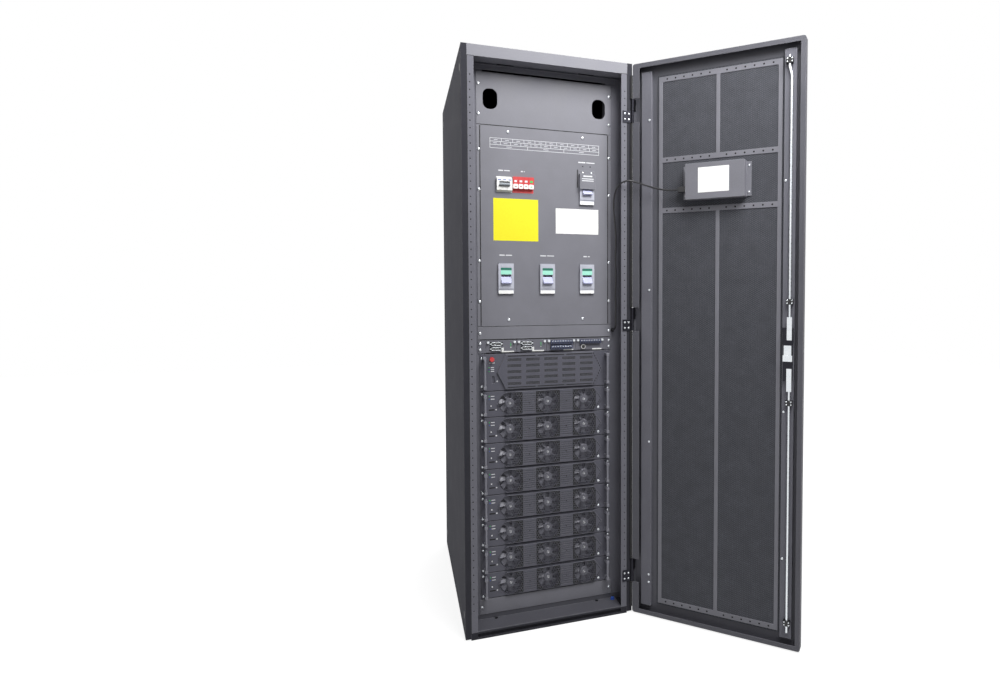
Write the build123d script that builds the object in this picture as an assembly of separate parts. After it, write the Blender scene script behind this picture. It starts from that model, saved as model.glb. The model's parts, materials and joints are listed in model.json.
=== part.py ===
from build123d import *
import math
import os

# Modular UPS cabinet: a steel rack with one mesh door, a breaker section above and eight
# hot-swap power modules below. Millimetres, +Z up, the front looks along -Y, the origin is
# on the floor at the middle of the cabinet's footprint. The door is drawn shut, then swung open.

# cabinet shell
body_width = 600.0
body_depth = 866.0
body_height = 2000.0
side_panel_depth = 19.0
side_panel_sheet = 1.5
side_panel_lift = 5.0
frame_sheet = 2.0
post_flange = 22.0
post_web = 94.0
post_hole_diameter = 5.0
post_hole_pitch = 25.0
post_hole_inset = 9.0
post_hole_margin = 62.0
header_height = 38.0
header_slot_length = 60.0
header_slot_width = 14.0
header_slot_spacing = 290.0
header_slot_setback = 58.0
header_lip_drop = 17.0
roof_fold = 24.0
base_height = 25.0
base_flange = 40.0
base_groove_height = 15.0
base_groove_depth = 8.0
base_beam = 60.0
tray_sheet = 3.0
tray_step = 18.0
anchor_hole_diameter = 14.0
anchor_spacing = 374.0
anchor_setback = 70.0
rear_panel_fold = 16.0
rear_split_height = 980.0
rear_vent_width = 132.0
rear_vent_height = 9.0
rear_vent_pitch_x = 158.0
rear_vent_pitch_z = 36.0
rear_vent_columns = 3
rear_vent_rows = 20
seam = 1.0
lock_length = 26.0
lock_width = 13.0
lock_depth = 9.0
lock_inset_y = 48.0
lock_inset_z = 65.0
fit_clearance = 0.3

# equipment plane and rails
panel_recess = 74.0
panel_sheet = 2.0
rail_opening = 446.0
rail_web = 40.0
panel_width = 486.0
panel_seam = 2.0

# cable entry panel with two oblong slots
panel_headroom = 24.0
cable_panel_height = 178.0
cable_panel_return = 14.0
cable_slot_width = 50.0
cable_slot_height = 70.0
cable_slot_corner = 22.0
cable_slot_spacing = 392.0
cable_slot_rise = 88.0

# breaker section
breaker_pitch = 696.0
breaker_panel_width = 461.0
chassis_depth = 78.0
chassis_sheet = 1.5
breaker_width = 54.0
breaker_height = 106.0
breaker_proud = 9.0
breaker_corner = 2.0
breaker_shoulder = 17.5
breaker_left = -145.0
breaker_middle = 3.0
breaker_right = 150.0
breaker_rise = 166.0
maintenance_rise = 488.0
cover_plate_width = 58.0
cover_plate_drop = 52.0
cover_plate_tab = 18.0
cover_plate_sheet = 1.5
cover_plate_gap = 7.0
device_clearance = 0.4
toggle_window_height = 33.0
toggle_window_drop = 2.5
toggle_window_depth = 18.0
toggle_barrel_radius = 7.0
toggle_width = 34.0
toggle_root_thickness = 13.0
toggle_tip_thickness = 7.0
toggle_tip_round = 2.0
toggle_reach = 17.0
toggle_rest_tilt = 46.0
surge_breaker_width = 54.0
surge_breaker_height = 42.0
surge_protector_width = 74.0
surge_protector_height = 54.0
surge_protector_base = 14.0
surge_proud = 12.0
surge_left = -176.0
surge_gap = 2.0
surge_rise = 494.0
surge_poles = 3
surge_cartridges = 4
pole_groove_width = 1.0
pole_groove_depth = 1.2
surge_toggle_window = 18.0
surge_toggle_depth = 11.0
surge_toggle_radius = 4.0
surge_toggle_width = 36.0
surge_toggle_reach = 9.0
surge_toggle_tilt = 16.0
surge_toggle_thickness = 4.0
yellow_sheet_width = 158.0
yellow_sheet_height = 147.0
yellow_sheet_column = -108.0
yellow_sheet_rise = 372.0
white_sheet_width = 160.0
white_sheet_height = 90.0
white_sheet_column = 115.0
white_sheet_rise = 374.0
sheet_thickness = 0.6
blank_pitch = 46.0

# control cards
card_pitch_z = 48.0
card_count = 4
card_cage_width = 436.0
card_cage_depth = 300.0
card_cage_sheet = 1.5
card_face_sheet = 2.0
card_body_depth = 160.0
card_body_sheet = 2.0
card_gap = 1.5
dsub_card_count = 2
dsub_width = 34.0
dsub_height = 11.0
dsub_proud = 6.0
dsub_corner = 3.5
dsub_shift = 17.8
dsub_spacing = 17.0
terminal_width = 80.0
terminal_height = 14.0
terminal_proud = 9.0
terminal_spacing = 19.0
round_socket_radius = 8.0
round_socket_proud = 5.0
round_socket_shift = 26.7
thumb_screw_radius = 4.2
thumb_screw_proud = 7.0
thumb_screw_inset = 7.0
pull_length = 36.0
pull_height = 4.0
pull_shift = 8.0
pull_leg_width = 7.0
pull_leg_height = 16.0
pull_thickness = 2.0

# bypass module and power modules
module_pitch = 92.0
module_gap = 3.0
module_width = 474.0
module_body_width = 436.0
module_body_depth = 640.0
module_ear_sheet = 2.5
module_case_sheet = 2.0
blank_least = 30.0
bypass_pitch = 132.0
field_left = -178.0
field_right = 206.0
field_tip = 30.0
field_margin = 4.0
field_proud = 7.0
fan_spacing = 136.0
fan_middle = 2.0
fan_count = 3
fan_opening_radius = 39.0
fan_bay_depth = 22.0
fan_tip_radius = 36.5
fan_hub_radius = 17.0
fan_hub_height = 16.0
fan_hub_dome = 3.0
fan_blade_count = 7
fan_root_angle = 48.0
fan_tip_angle = 28.0
fan_sweep_angle = 14.0
fan_root_chord = 13.0
fan_tip_chord = 20.0
fan_blade_thickness = 1.6
rib_count = 9
rib_width = 44.0
rib_slit = 2.4
rib_pitch = 7.6
rib_depth = 2.0
louvre_columns = 5
louvre_rows = 5
louvre_width = 50.0
louvre_slit_count = 3
louvre_slit = 2.0
louvre_slit_pitch = 3.4
louvre_depth = 4.0
louvre_pitch_x = 66.0
louvre_pitch_z = 21.0
edge_slit_count = 3
edge_slit_width = 100.0
edge_slit = 2.4
edge_slit_pitch = 106.0
edge_slit_inset = 4.0
port_column = -191.0
port_rise = 38.0
port_width = 10.0
port_height = 26.0
port_depth = 5.0
handle_spread = 446.0
handle_bar_radius = 4.5
handle_block_width = 10.0
handle_block_height = 9.0
handle_reach = 28.0
handle_end_margin = 9.0
button_radius = 8.0
button_column = -196.0
button_drop = 19.0
button_height = 12.0
button_travel = 4.0
button_socket_depth = 7.0

# door
door_open_angle = 135.0
door_gap = 6.0
door_thickness = 28.0
door_sheet = 1.5
door_lift = 5.0
door_headroom = 4.0
door_corner = 8.0
door_return = 16.0
door_hinge_return = 26.0
field_from_hinge = 94.0
field_width = 430.0
field_rise = 50.0
field_headroom = 54.0
mesh_sheet = 1.2
filter_thickness = 4.0
filter_margin = 6.0
bar_width = 18.0
bar_upright_width = 13.0
bar_sheet = 2.0
bar_hole_diameter = 5.0
bar_hole_count = 6
bar_hole_pitch = 31.0
bar_below_display = 90.0
bar_above_display = 88.0
stiffener_width = 38.0
stiffener_from_edge = 30.0
stiffener_setback = 13.0
stiffener_end = 30.0

# display on the door
display_from_hinge = 306.0
display_drop = 434.0
bezel_width = 212.0
bezel_height = 134.0
bezel_proud = 8.0
bezel_corner = 9.0
screen_width = 160.0
screen_height = 90.0
screen_shift_z = 4.0
screen_glass = 1.5
display_box_width = 206.0
display_box_height = 122.0
display_box_depth = 38.0
display_box_corner = 3.0
display_ear_width = 16.0
display_ear_sheet = 2.0
display_ear_margin = 4.0
plug_length = 28.0
plug_width = 18.0
plug_height = 20.0
plug_drop = 24.0

# hinges
hinge_low = 161.0
hinge_middle_drop = 916.0
hinge_high_drop = 168.0
hinge_length = 84.0
hinge_knuckle_radius = 5.0
hinge_pin_radius = 3.0
hinge_leaf_sheet = 2.5
hinge_leaf_width = 36.0
hinge_door_leaf_width = 20.0
hinge_end_gap = 0.5
hinge_notch = 8.0

# swing handle, latch and rods
handle_from_hinge = 551.0
handle_pivot_height = 1040.0
handle_base_width = 32.0
handle_base_above = 32.0
handle_base_below = 134.0
handle_base_sheet = 6.0
hub_radius = 10.0
tongue_width = 8.0
lever_width = 25.0
lever_length = 118.0
lever_thickness = 12.0
lever_tip_thickness = 9.0
lever_lift_gap = 1.0
lever_slot_length = 15.0
lever_pin_radius = 2.4
lever_lock_radius = 7.0
lever_lock_proud = 1.5
lever_lock_drop = 86.0
spindle_radius = 5.0
latch_box_width = 34.0
latch_box_above = 27.0
latch_box_below = 28.0
latch_case_width = 30.0
latch_case_length = 118.0
latch_box_depth = 9.0
latch_cover_width = 24.0
latch_cover_length = 52.0
latch_cover_sheet = 2.5
latch_clip_length = 20.0
latch_clip_sheet = 4.0
rod_radius = 4.0
rod_shift = 5.0
rod_seat = 2.5
rod_tip_inset = 53.0
rod_bend_drop = 37.0
rod_bend_rise = 28.0
rod_bend_shift = 7.0
rod_bend_radius = 30.0
rod_tongue_width = 16.0
rod_tongue_sheet = 2.0
rod_tongue_lap = 40.0
rod_stroke = 14.0
guide_width = 22.0
guide_height = 18.0
guide_low_rise = 32.0
guide_below_handle = 219.0
guide_above_handle = 112.0
guide_top_drop = 17.0

# display lead, from the plug on the door to its grommet on the right rail
cable_diameter = 6.0
cable_bend_share = 0.45
grommet_radius = 7.0
grommet_length = 5.0
grommet_column = 250.0
grommet_height = 1042.0
cable_route = [
    (423.5, -562.5, 1538.0), (406.1, -545.1, 1538.0), (379.9, -524.6, 1542.0),
    (349.5, -502.6, 1552.0), (319.8, -480.0, 1566.0), (293.6, -462.3, 1577.0),
    (268.0, -459.0, 1580.0), (248.0, -436.0, 1567.0), (240.0, -411.0, 1535.0),
    (241.0, -399.0, 1490.0), (247.0, -398.0, 1432.0), (251.0, -400.0, 1370.0),
    (248.0, -398.0, 1305.0), (251.0, -399.0, 1240.0), (248.5, -398.0, 1180.0),
    (250.5, -398.5, 1130.0), (249.5, -397.5, 1090.0), (250.0, -397.0, 1060.3),
    (250.0, -390.3, 1048.7), (250.0, -378.7, 1042.0), (250.0, -364.0, 1042.0)]

os.makedirs("parts", exist_ok=True)


# axis-aligned block between two corners
def block(x0, x1, y0, y1, z0, z1):
    return Pos((x0 + x1) / 2, (y0 + y1) / 2, (z0 + z1) / 2) * Box(abs(x1 - x0), abs(y1 - y0), abs(z1 - z0))


def bar_x(radius, x0, x1, y, z):
    return Pos((x0 + x1) / 2, y, z) * Rot(0, 90, 0) * Cylinder(radius, abs(x1 - x0))


def bar_y(radius, x, y0, y1, z):
    return Pos(x, (y0 + y1) / 2, z) * Rot(90, 0, 0) * Cylinder(radius, abs(y1 - y0))


def bar_z(radius, x, y, z0, z1):
    return Pos(x, y, (z0 + z1) / 2) * Cylinder(radius, abs(z1 - z0))


# plate facing the front: a sketch in X and Z, given depth from y0 to y1
def plate(sketch, x, z, y0, y1):
    return Pos(x, y1, z) * extrude(Plane.XZ * sketch, amount=y1 - y0)


def save(node, *solids):
    shape = solids[0] if len(solids) == 1 else Compound(children=list(solids))
    export_step(shape, "parts/" + node + ".step")


front = -body_depth / 2
rear = body_depth / 2
face = front + panel_recess
panel_front = face - panel_sheet
half_width = body_width / 2
inner_half = half_width - side_panel_depth
frame_inside = inner_half - post_flange
tray_top = base_height + tray_sheet
header_bottom = body_height - header_height
roof_bottom = body_height - roof_fold
rear_inside = rear - rear_panel_fold

# base: a ring with a cross beam that stands on the floor, grooved along its front
base = block(-inner_half, inner_half, front, rear_inside, 0, base_height)
base_wells = ((front + panel_recess + base_flange, -base_beam / 2),
              (base_beam / 2, rear_inside - base_flange))
for y0, y1 in base_wells:
    base -= block(-inner_half + base_flange, inner_half - base_flange, y0, y1, 0, base_height)
groove_bottom = (base_height - base_groove_height) / 2
base -= block(-frame_inside, frame_inside, front, front + base_groove_depth,
              groove_bottom, groove_bottom + base_groove_height)
for side in (-1, 1):
    base -= bar_z(anchor_hole_diameter / 2, side * anchor_spacing / 2, front + anchor_setback,
                  0, base_height)
save("base_frame", base)

# floor tray, stepped up to the equipment plane
tray = block(-frame_inside, frame_inside, front + seam, rear_inside, base_height, tray_top)
tray += block(-inner_half + frame_sheet, inner_half - frame_sheet, face, face + tray_sheet,
              base_height, tray_top + tray_step)
for side in (-1, 1):
    tray -= bar_z(anchor_hole_diameter / 2, side * anchor_spacing / 2, front + anchor_setback,
                  base_height, tray_top)
save("floor_tray", tray)


# rolled corner post: flange on the face of the cabinet, web along the side, return inside
def corner_post(side, y_face, inward, top):
    outer = side * inner_half
    middle = y_face + inward * post_web / 2
    section = Pos(outer - side * post_flange / 2, middle) * Rectangle(post_flange, post_web)
    hollow = Rectangle(post_flange, post_web - 2 * frame_sheet)
    section -= Pos(outer - side * (post_flange / 2 + frame_sheet), middle) * hollow
    return Pos(0, 0, base_height) * extrude(section, amount=top - base_height)


hole_count = int((header_bottom - base_height - 2 * post_hole_margin) // post_hole_pitch) + 1
hole_rise = header_bottom - post_hole_margin - (hole_count - 1) * post_hole_pitch
front_posts = []
for side in (-1, 1):
    post = corner_post(side, front, 1, header_bottom)
    post -= [bar_y(post_hole_diameter / 2, side * (inner_half - post_hole_inset), front, front + frame_sheet,
                   hole_rise + index * post_hole_pitch) for index in range(hole_count)]
    front_posts.append(post)
rear_posts = [corner_post(side, rear_inside, -1, roof_bottom) for side in (-1, 1)]
save("corner_posts", *front_posts, *rear_posts)

# header: a channel open to the rear, whose lower flange goes on in three lugs and a lip round two slots
slot_front = front + header_slot_setback - header_slot_width / 2
slot_back = slot_front + header_slot_width
slot_inner = (header_slot_spacing - header_slot_length) / 2
slot_outer = slot_inner + header_slot_length
strip_top = header_bottom + frame_sheet
header = block(-inner_half, inner_half, front, front + frame_sheet, header_bottom, body_height)
header += block(-inner_half, inner_half, front, front + panel_recess,
                body_height - frame_sheet, body_height)
header += block(-inner_half, inner_half, front, slot_front, header_bottom, strip_top)
save("header", header)
header_lip = block(-inner_half, inner_half, slot_back, front + panel_recess, header_bottom, strip_top)
header_lip += block(-frame_inside, frame_inside, face - frame_sheet, face,
                    header_bottom - header_lip_drop, header_bottom)
save("header_lip", header_lip)
lug_spans = ((-inner_half, -slot_outer), (-slot_inner, slot_inner), (slot_outer, inner_half))
save("header_lugs", *[block(x0, x1, slot_front, slot_back, header_bottom, strip_top) for x0, x1 in lug_spans])

# roof pan
roof = block(-inner_half, inner_half, front + panel_recess, rear, roof_bottom, body_height)
roof -= block(-inner_half + frame_sheet, inner_half - frame_sheet, front + panel_recess, rear - frame_sheet,
              roof_bottom, body_height - frame_sheet)
save("roof_panel", roof)


# side panel: a sheet folded in along its four edges, with four oval quarter-turn locks
lock_outline = SlotOverall(lock_length, lock_width, rotation=90)
lock_hole = SlotOverall(lock_length + 2 * fit_clearance, lock_width + 2 * fit_clearance, rotation=90)
lock_places = [(y, z) for y in (front + lock_inset_y, rear - lock_inset_y)
               for z in (side_panel_lift + lock_inset_z, body_height - lock_inset_z)]


def side_panel(side):
    skin = side * half_width
    pan = block(side * inner_half, skin, front, rear, side_panel_lift, body_height)
    pan -= block(side * inner_half, skin - side * side_panel_sheet, front + side_panel_sheet,
                 rear - side_panel_sheet, side_panel_lift + side_panel_sheet, body_height - side_panel_sheet)
    for y, z in lock_places:
        pan -= Pos(skin, y, z) * extrude(Plane.YZ * lock_hole, amount=-side * side_panel_sheet)
    return pan


def side_locks(side):
    return [Pos(side * half_width, y, z) * extrude(Plane.YZ * lock_outline, amount=-side * lock_depth)
            for y, z in lock_places]


save("side_panels", side_panel(-1), side_panel(1))
save("side_locks", *side_locks(-1), *side_locks(1))


# rear panels: two folded pans, the lower one slotted for the air that the fans drive through
def rear_pan(bottom, top):
    pan = block(-inner_half, inner_half, rear_inside, rear, bottom, top)
    return pan - block(-inner_half + frame_sheet, inner_half - frame_sheet, rear_inside, rear - frame_sheet,
                       bottom + frame_sheet, top - frame_sheet)


rear_upper = rear_pan(rear_split_height + seam, roof_bottom)
rear_lower = rear_pan(0, rear_split_height)
vent_middle = rear_split_height / 2
rear_lower -= [Pos(vent.position.X, rear, vent_middle + vent.position.Y) * Box(
    rear_vent_width, 2 * rear_panel_fold, rear_vent_height)
    for vent in GridLocations(rear_vent_pitch_x, rear_vent_pitch_z, rear_vent_columns, rear_vent_rows)]
save("rear_panels", rear_upper, rear_lower)

# rack rails: angles that carry every panel and module, seated against the front posts
rail_edge = rail_opening / 2
rail_bottom = tray_top + tray_step


def rack_rail(side):
    plate_part = block(side * rail_edge, side * (inner_half - frame_sheet), face, face + frame_sheet,
                       rail_bottom, header_bottom)
    return plate_part + block(side * rail_edge, side * (rail_edge + frame_sheet), face, face + rail_web,
                              rail_bottom, header_bottom)


save("rack_rails", rack_rail(-1), rack_rail(1))

# heights of the equipment, hung from the header: modules fill the space that is left above the tray
cable_panel_bottom = header_bottom - panel_headroom - cable_panel_height
breaker_bottom = cable_panel_bottom - breaker_pitch
blank_bottom = breaker_bottom - blank_pitch
cards_bottom = blank_bottom - card_pitch_z
bypass_bottom = cards_bottom - bypass_pitch
module_space = bypass_bottom - rail_bottom - blank_least - module_gap
module_count = int(module_space // module_pitch)
module_bottom = bypass_bottom - module_count * module_pitch

# cable entry panel
cable_panel_middle = cable_panel_bottom + cable_panel_height / 2
cable_panel = plate(Rectangle(panel_width, cable_panel_height), 0, cable_panel_middle, panel_front, face)
cable_panel += block(-rail_edge + fit_clearance, rail_edge - fit_clearance, face, face + cable_panel_return,
                     cable_panel_bottom + cable_panel_height - panel_sheet,
                     cable_panel_bottom + cable_panel_height)
for side in (-1, 1):
    oblong = RectangleRounded(cable_slot_width, cable_slot_height, cable_slot_corner)
    cable_panel -= plate(oblong, side * cable_slot_spacing / 2, cable_panel_bottom + cable_slot_rise,
                         panel_front, face)
save("cable_panel", cable_panel)

# breaker chassis: a folded tray with an ear down each side, closed by the breaker panel
breaker_height_all = breaker_pitch - panel_seam
breaker_top = breaker_bottom + breaker_height_all
chassis_inside = breaker_panel_width / 2 + seam
chassis_back = face + chassis_depth
chassis = block(-rail_edge + fit_clearance, rail_edge - fit_clearance, face + frame_sheet, chassis_back,
                breaker_bottom, breaker_top)
chassis -= block(-rail_edge + fit_clearance + chassis_sheet, rail_edge - fit_clearance - chassis_sheet,
                 face + frame_sheet, chassis_back - chassis_sheet,
                 breaker_bottom + chassis_sheet, breaker_top - chassis_sheet)
ears = []
for side in (-1, 1):
    ears.append(block(side * chassis_inside, side * panel_width / 2, panel_front, face,
                      breaker_bottom, breaker_top))
save("breaker_chassis", chassis)

breaker_back = chassis_back - chassis_sheet
breaker_row = breaker_bottom + breaker_rise
maintenance_row = breaker_bottom + maintenance_rise
surge_row = breaker_bottom + surge_rise
surge_protector_left = surge_left + surge_breaker_width + surge_gap
surge_right = surge_protector_left + surge_protector_width
breaker_columns = (breaker_left, breaker_middle, breaker_right)
breaker_places = [(x, breaker_row) for x in breaker_columns] + [(breaker_right, maintenance_row)]

breaker_panel = plate(Rectangle(breaker_panel_width, breaker_height_all), 0,
                      (breaker_bottom + breaker_top) / 2, panel_front, face)
breaker_cut = Rectangle(breaker_width + 2 * device_clearance, breaker_height + 2 * device_clearance)
for x, z in breaker_places:
    breaker_panel -= plate(breaker_cut, x, z, panel_front, face)
surge_cut = Rectangle(surge_right - surge_left + 2 * device_clearance,
                      surge_protector_height + 2 * device_clearance)
breaker_panel -= plate(surge_cut, (surge_left + surge_right) / 2, surge_row, panel_front, face)
save("breaker_panel", breaker_panel, *ears)

# moulded-case breakers, with a window round each toggle
breaker_front = panel_front - breaker_proud
toggle_axis = breaker_front + toggle_barrel_radius + fit_clearance
window_width = toggle_width + 2 * fit_clearance


def moulded_breaker(x, z):
    outline = RectangleRounded(breaker_width, breaker_height, breaker_corner)
    case = plate(outline, x, z, breaker_front, breaker_back)
    for end in (-1, 1):
        case -= block(x - breaker_width / 2, x + breaker_width / 2,
                      breaker_front, breaker_front + breaker_corner, z + end * breaker_height / 2,
                      z + end * (breaker_height / 2 - breaker_shoulder))
    return case - block(x - window_width / 2, x + window_width / 2, breaker_front,
                        breaker_front + toggle_window_depth,
                        z - toggle_window_height / 2 - toggle_window_drop,
                        z + toggle_window_height / 2 - toggle_window_drop)


# toggle: a barrel with a tapered lever across it, resting with its tip down
def toggle(x, z):
    root = toggle_root_thickness / 2
    tip = toggle_tip_thickness / 2
    reach = toggle_barrel_radius + toggle_reach
    lever_side_view = make_face(Polyline((0, -root), (-reach, -tip), (-reach, tip), (0, root), close=True))
    lever_blade = extrude(Plane.YZ * lever_side_view, amount=toggle_width)
    lever_blade = fillet(lever_blade.edges().filter_by(Axis.X).group_by(Axis.Y)[0], toggle_tip_round)
    whole = Pos(x - toggle_width / 2, toggle_axis, z) * lever_blade
    whole += bar_x(toggle_barrel_radius, x - toggle_width / 2, x + toggle_width / 2, toggle_axis, z)
    return whole.rotate(Axis((x, toggle_axis, z), (1, 0, 0)), toggle_rest_tilt)


save("moulded_breakers", *[moulded_breaker(x, z) for x, z in breaker_places])
save("breaker_toggle_left", toggle(breaker_left, breaker_row))
save("breaker_toggle_middle", toggle(breaker_middle, breaker_row))
save("breaker_toggle_right", toggle(breaker_right, breaker_row))
save("maintenance_toggle", toggle(breaker_right, maintenance_row))

# lock-out plate folded over the upper half of the maintenance breaker
plate_top = maintenance_row + breaker_height / 2 + device_clearance + cover_plate_tab
plate_left = breaker_right - cover_plate_width / 2
plate_right = breaker_right + cover_plate_width / 2
plate_out = breaker_front - cover_plate_gap
tab_bottom = plate_top - cover_plate_tab + seam
lockout = block(plate_left, plate_right, panel_front - cover_plate_sheet, panel_front, tab_bottom, plate_top)
lockout += block(plate_left, plate_right, plate_out - cover_plate_sheet, panel_front,
                 tab_bottom, tab_bottom + cover_plate_sheet)
lockout += block(plate_left, plate_right, plate_out - cover_plate_sheet, plate_out,
                 tab_bottom - cover_plate_drop, tab_bottom + cover_plate_sheet)
save("lockout_plate", lockout)

# surge arrester group on its rail: a three-pole breaker and a pluggable protector
surge_front = panel_front - surge_proud
surge_breaker_x = surge_left + surge_breaker_width / 2
surge_breaker = block(surge_left, surge_left + surge_breaker_width, panel_front, breaker_back,
                      surge_row - surge_protector_height / 2, surge_row + surge_protector_height / 2)
surge_breaker += block(surge_left, surge_left + surge_breaker_width, surge_front, panel_front,
                       surge_row - surge_breaker_height / 2, surge_row + surge_breaker_height / 2)
surge_breaker -= block(surge_breaker_x - surge_toggle_width / 2 - fit_clearance,
                       surge_breaker_x + surge_toggle_width / 2 + fit_clearance,
                       surge_front, surge_front + surge_toggle_depth,
                       surge_row - surge_toggle_window / 2, surge_row + surge_toggle_window / 2)
for index in range(1, surge_poles):
    groove_x = surge_left + index * surge_breaker_width / surge_poles
    surge_breaker -= block(groove_x - pole_groove_width / 2, groove_x + pole_groove_width / 2,
                           surge_front, surge_front + pole_groove_depth,
                           surge_row - surge_breaker_height / 2, surge_row + surge_breaker_height / 2)
save("surge_breaker", surge_breaker)

surge_axis = surge_front + surge_toggle_radius + fit_clearance
surge_toggle = bar_x(surge_toggle_radius, surge_breaker_x - surge_toggle_width / 2,
                     surge_breaker_x + surge_toggle_width / 2, surge_axis, surge_row)
surge_toggle += block(surge_breaker_x - surge_toggle_width / 2, surge_breaker_x + surge_toggle_width / 2,
                      surge_axis - surge_toggle_radius - surge_toggle_reach, surge_axis,
                      surge_row - surge_toggle_thickness / 2, surge_row + surge_toggle_thickness / 2)
surge_pivot = Axis((surge_breaker_x, surge_axis, surge_row), (1, 0, 0))
save("surge_toggle", surge_toggle.rotate(surge_pivot, surge_toggle_tilt))

surge_middle = (surge_protector_left + surge_right) / 2
protector = plate(Rectangle(surge_protector_width, surge_protector_height), surge_middle, surge_row,
                  panel_front, breaker_back)
cartridge_height = surge_protector_height - surge_protector_base
protector += plate(RectangleRounded(surge_protector_width, cartridge_height, breaker_corner), surge_middle,
                   surge_row + surge_protector_base / 2, surge_front, panel_front)
for index in range(1, surge_cartridges):
    groove_x = surge_protector_left + index * surge_protector_width / surge_cartridges
    protector -= block(groove_x - pole_groove_width / 2, groove_x + pole_groove_width / 2,
                       surge_front, surge_front + pole_groove_depth,
                       surge_row - surge_protector_height / 2, surge_row + surge_protector_height / 2)
save("surge_protector", protector)


def paper(width, height, column, rise):
    return plate(Rectangle(width, height), column, breaker_bottom + rise,
                 panel_front - sheet_thickness, panel_front)


yellow_sheet = paper(yellow_sheet_width, yellow_sheet_height, yellow_sheet_column, yellow_sheet_rise)
white_sheet = paper(white_sheet_width, white_sheet_height, white_sheet_column, white_sheet_rise)
save("paper_sheets", yellow_sheet, white_sheet)


# plain panels above the card row and below the last module
def blank_panel(bottom, top):
    return plate(Rectangle(panel_width, top - bottom), 0, (bottom + top) / 2, panel_front, face)


save("blank_panels", blank_panel(rail_bottom, module_bottom - module_gap),
     blank_panel(blank_bottom, breaker_bottom - panel_seam))

# card cage with four control cards
cards_top = blank_bottom - panel_seam
cage_half = card_cage_width / 2
cage = block(-cage_half, cage_half, face, face + card_cage_depth, cards_bottom, cards_top)
cage -= block(-cage_half + card_cage_sheet, cage_half - card_cage_sheet, face,
              face + card_cage_depth - card_cage_sheet,
              cards_bottom + card_cage_sheet, cards_top - card_cage_sheet)
for side in (-1, 1):
    cage += block(side * (cage_half - card_cage_sheet), side * panel_width / 2, panel_front, face,
                  cards_bottom, cards_top)
save("card_cage", cage)

card_span = 2 * (cage_half - card_cage_sheet)
card_pitch_x = card_span / card_count
card_width = card_pitch_x - card_gap
card_low = cards_bottom + card_cage_sheet + fit_clearance
card_high = cards_top - card_cage_sheet - fit_clearance
card_middle = (card_low + card_high) / 2
card_columns = [-card_span / 2 + card_pitch_x * (index + 0.5) for index in range(card_count)]


def control_card(x):
    card = block(x - card_width / 2, x + card_width / 2, panel_front, face, card_low, card_high)
    board = block(x - card_width / 2, x + card_width / 2, face, face + card_body_depth,
                  card_low, card_low + card_body_sheet)
    return card + board


save("control_cards", *[control_card(x) for x in card_columns])

connectors = []
dsub = RectangleRounded(dsub_width, dsub_height, dsub_corner)
for x in card_columns[:dsub_card_count]:
    for end in (-1, 1):
        connectors.append(plate(dsub, x - dsub_shift, card_middle + end * dsub_spacing / 2,
                                panel_front - dsub_proud, panel_front))
for end in (-1, 1):
    connectors.append(plate(Rectangle(terminal_width, terminal_height), card_columns[2],
                            card_middle + end * terminal_spacing / 2,
                            panel_front - terminal_proud, panel_front))
connectors.append(plate(Rectangle(terminal_width, terminal_height), card_columns[3],
                        card_middle + terminal_spacing / 2, panel_front - terminal_proud, panel_front))
connectors.append(bar_y(round_socket_radius, card_columns[3] - round_socket_shift,
                        panel_front - round_socket_proud, panel_front, card_middle - terminal_spacing / 2))
save("card_connectors", *connectors)

thumb_screws = []
for x in card_columns:
    for end in (-1, 1):
        thumb_screws.append(bar_y(thumb_screw_radius, x + end * (card_width / 2 - thumb_screw_inset),
                                  panel_front - thumb_screw_proud, panel_front,
                                  card_high - thumb_screw_inset))
save("thumb_screws", *thumb_screws)

# white pulls along the lower edge of the cards, with a leg up the face of the first two
card_pulls = []
for index, x in enumerate(card_columns):
    pull_front = panel_front - pull_thickness
    pull_left = x + pull_shift
    pull = block(pull_left, pull_left + pull_length, pull_front, panel_front,
                 card_low, card_low + pull_height)
    if index < dsub_card_count:
        pull += block(pull_left - pull_leg_width, pull_left, pull_front, panel_front,
                      card_low, card_low + pull_leg_height)
    card_pulls.append(pull)
save("card_pulls", *card_pulls)


# module face: a hexagonal field stands proud of the ears
def field_outline(height):
    half = height / 2 - field_margin
    return Polygon((field_left, 0), (field_left + field_tip, -half), (field_right - field_tip, -half),
                   (field_right, 0), (field_right - field_tip, half), (field_left + field_tip, half),
                   align=None)


module_front = face - module_ear_sheet
field_front = module_front - field_proud
module_back = face + module_body_depth
bay_back = field_front + fan_bay_depth


# sheet case behind the ears, closed all round
def module_shell(middle, height):
    ears_plate = plate(Rectangle(module_width, height), 0, middle, module_front, face)
    case = plate(Rectangle(module_body_width, height), 0, middle, face, module_back)
    inside = Rectangle(module_body_width - 2 * module_case_sheet, height - 2 * module_case_sheet)
    case -= plate(inside, 0, middle, bay_back + module_case_sheet, module_back - module_case_sheet)
    return ears_plate + case + plate(field_outline(height), 0, middle, field_front, module_front)


fan_columns = [fan_middle + fan_spacing * (index - (fan_count - 1) / 2) for index in range(fan_count)]


# power module with three fan bays, and ribs between them
def power_module(height):
    module = module_shell(0, height)
    module -= [bar_y(fan_opening_radius, x, field_front, bay_back, 0) for x in fan_columns]
    for left, right in zip(fan_columns, fan_columns[1:]):
        module -= [plate(Rectangle(rib_width, rib_slit), (left + right) / 2, slit.position.Y,
                         field_front, field_front + rib_depth)
                   for slit in GridLocations(rib_width, rib_pitch, 1, rib_count)]
    return module


# section of a fan blade across its radius, pitched to the plane of the fan
def blade_section(radius, angle, chord):
    section = Plane.YZ * Rectangle(chord, fan_blade_thickness)
    return Pos(radius, 0, fan_hub_height / 2) * Rot(angle, 0, 0) * section


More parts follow.
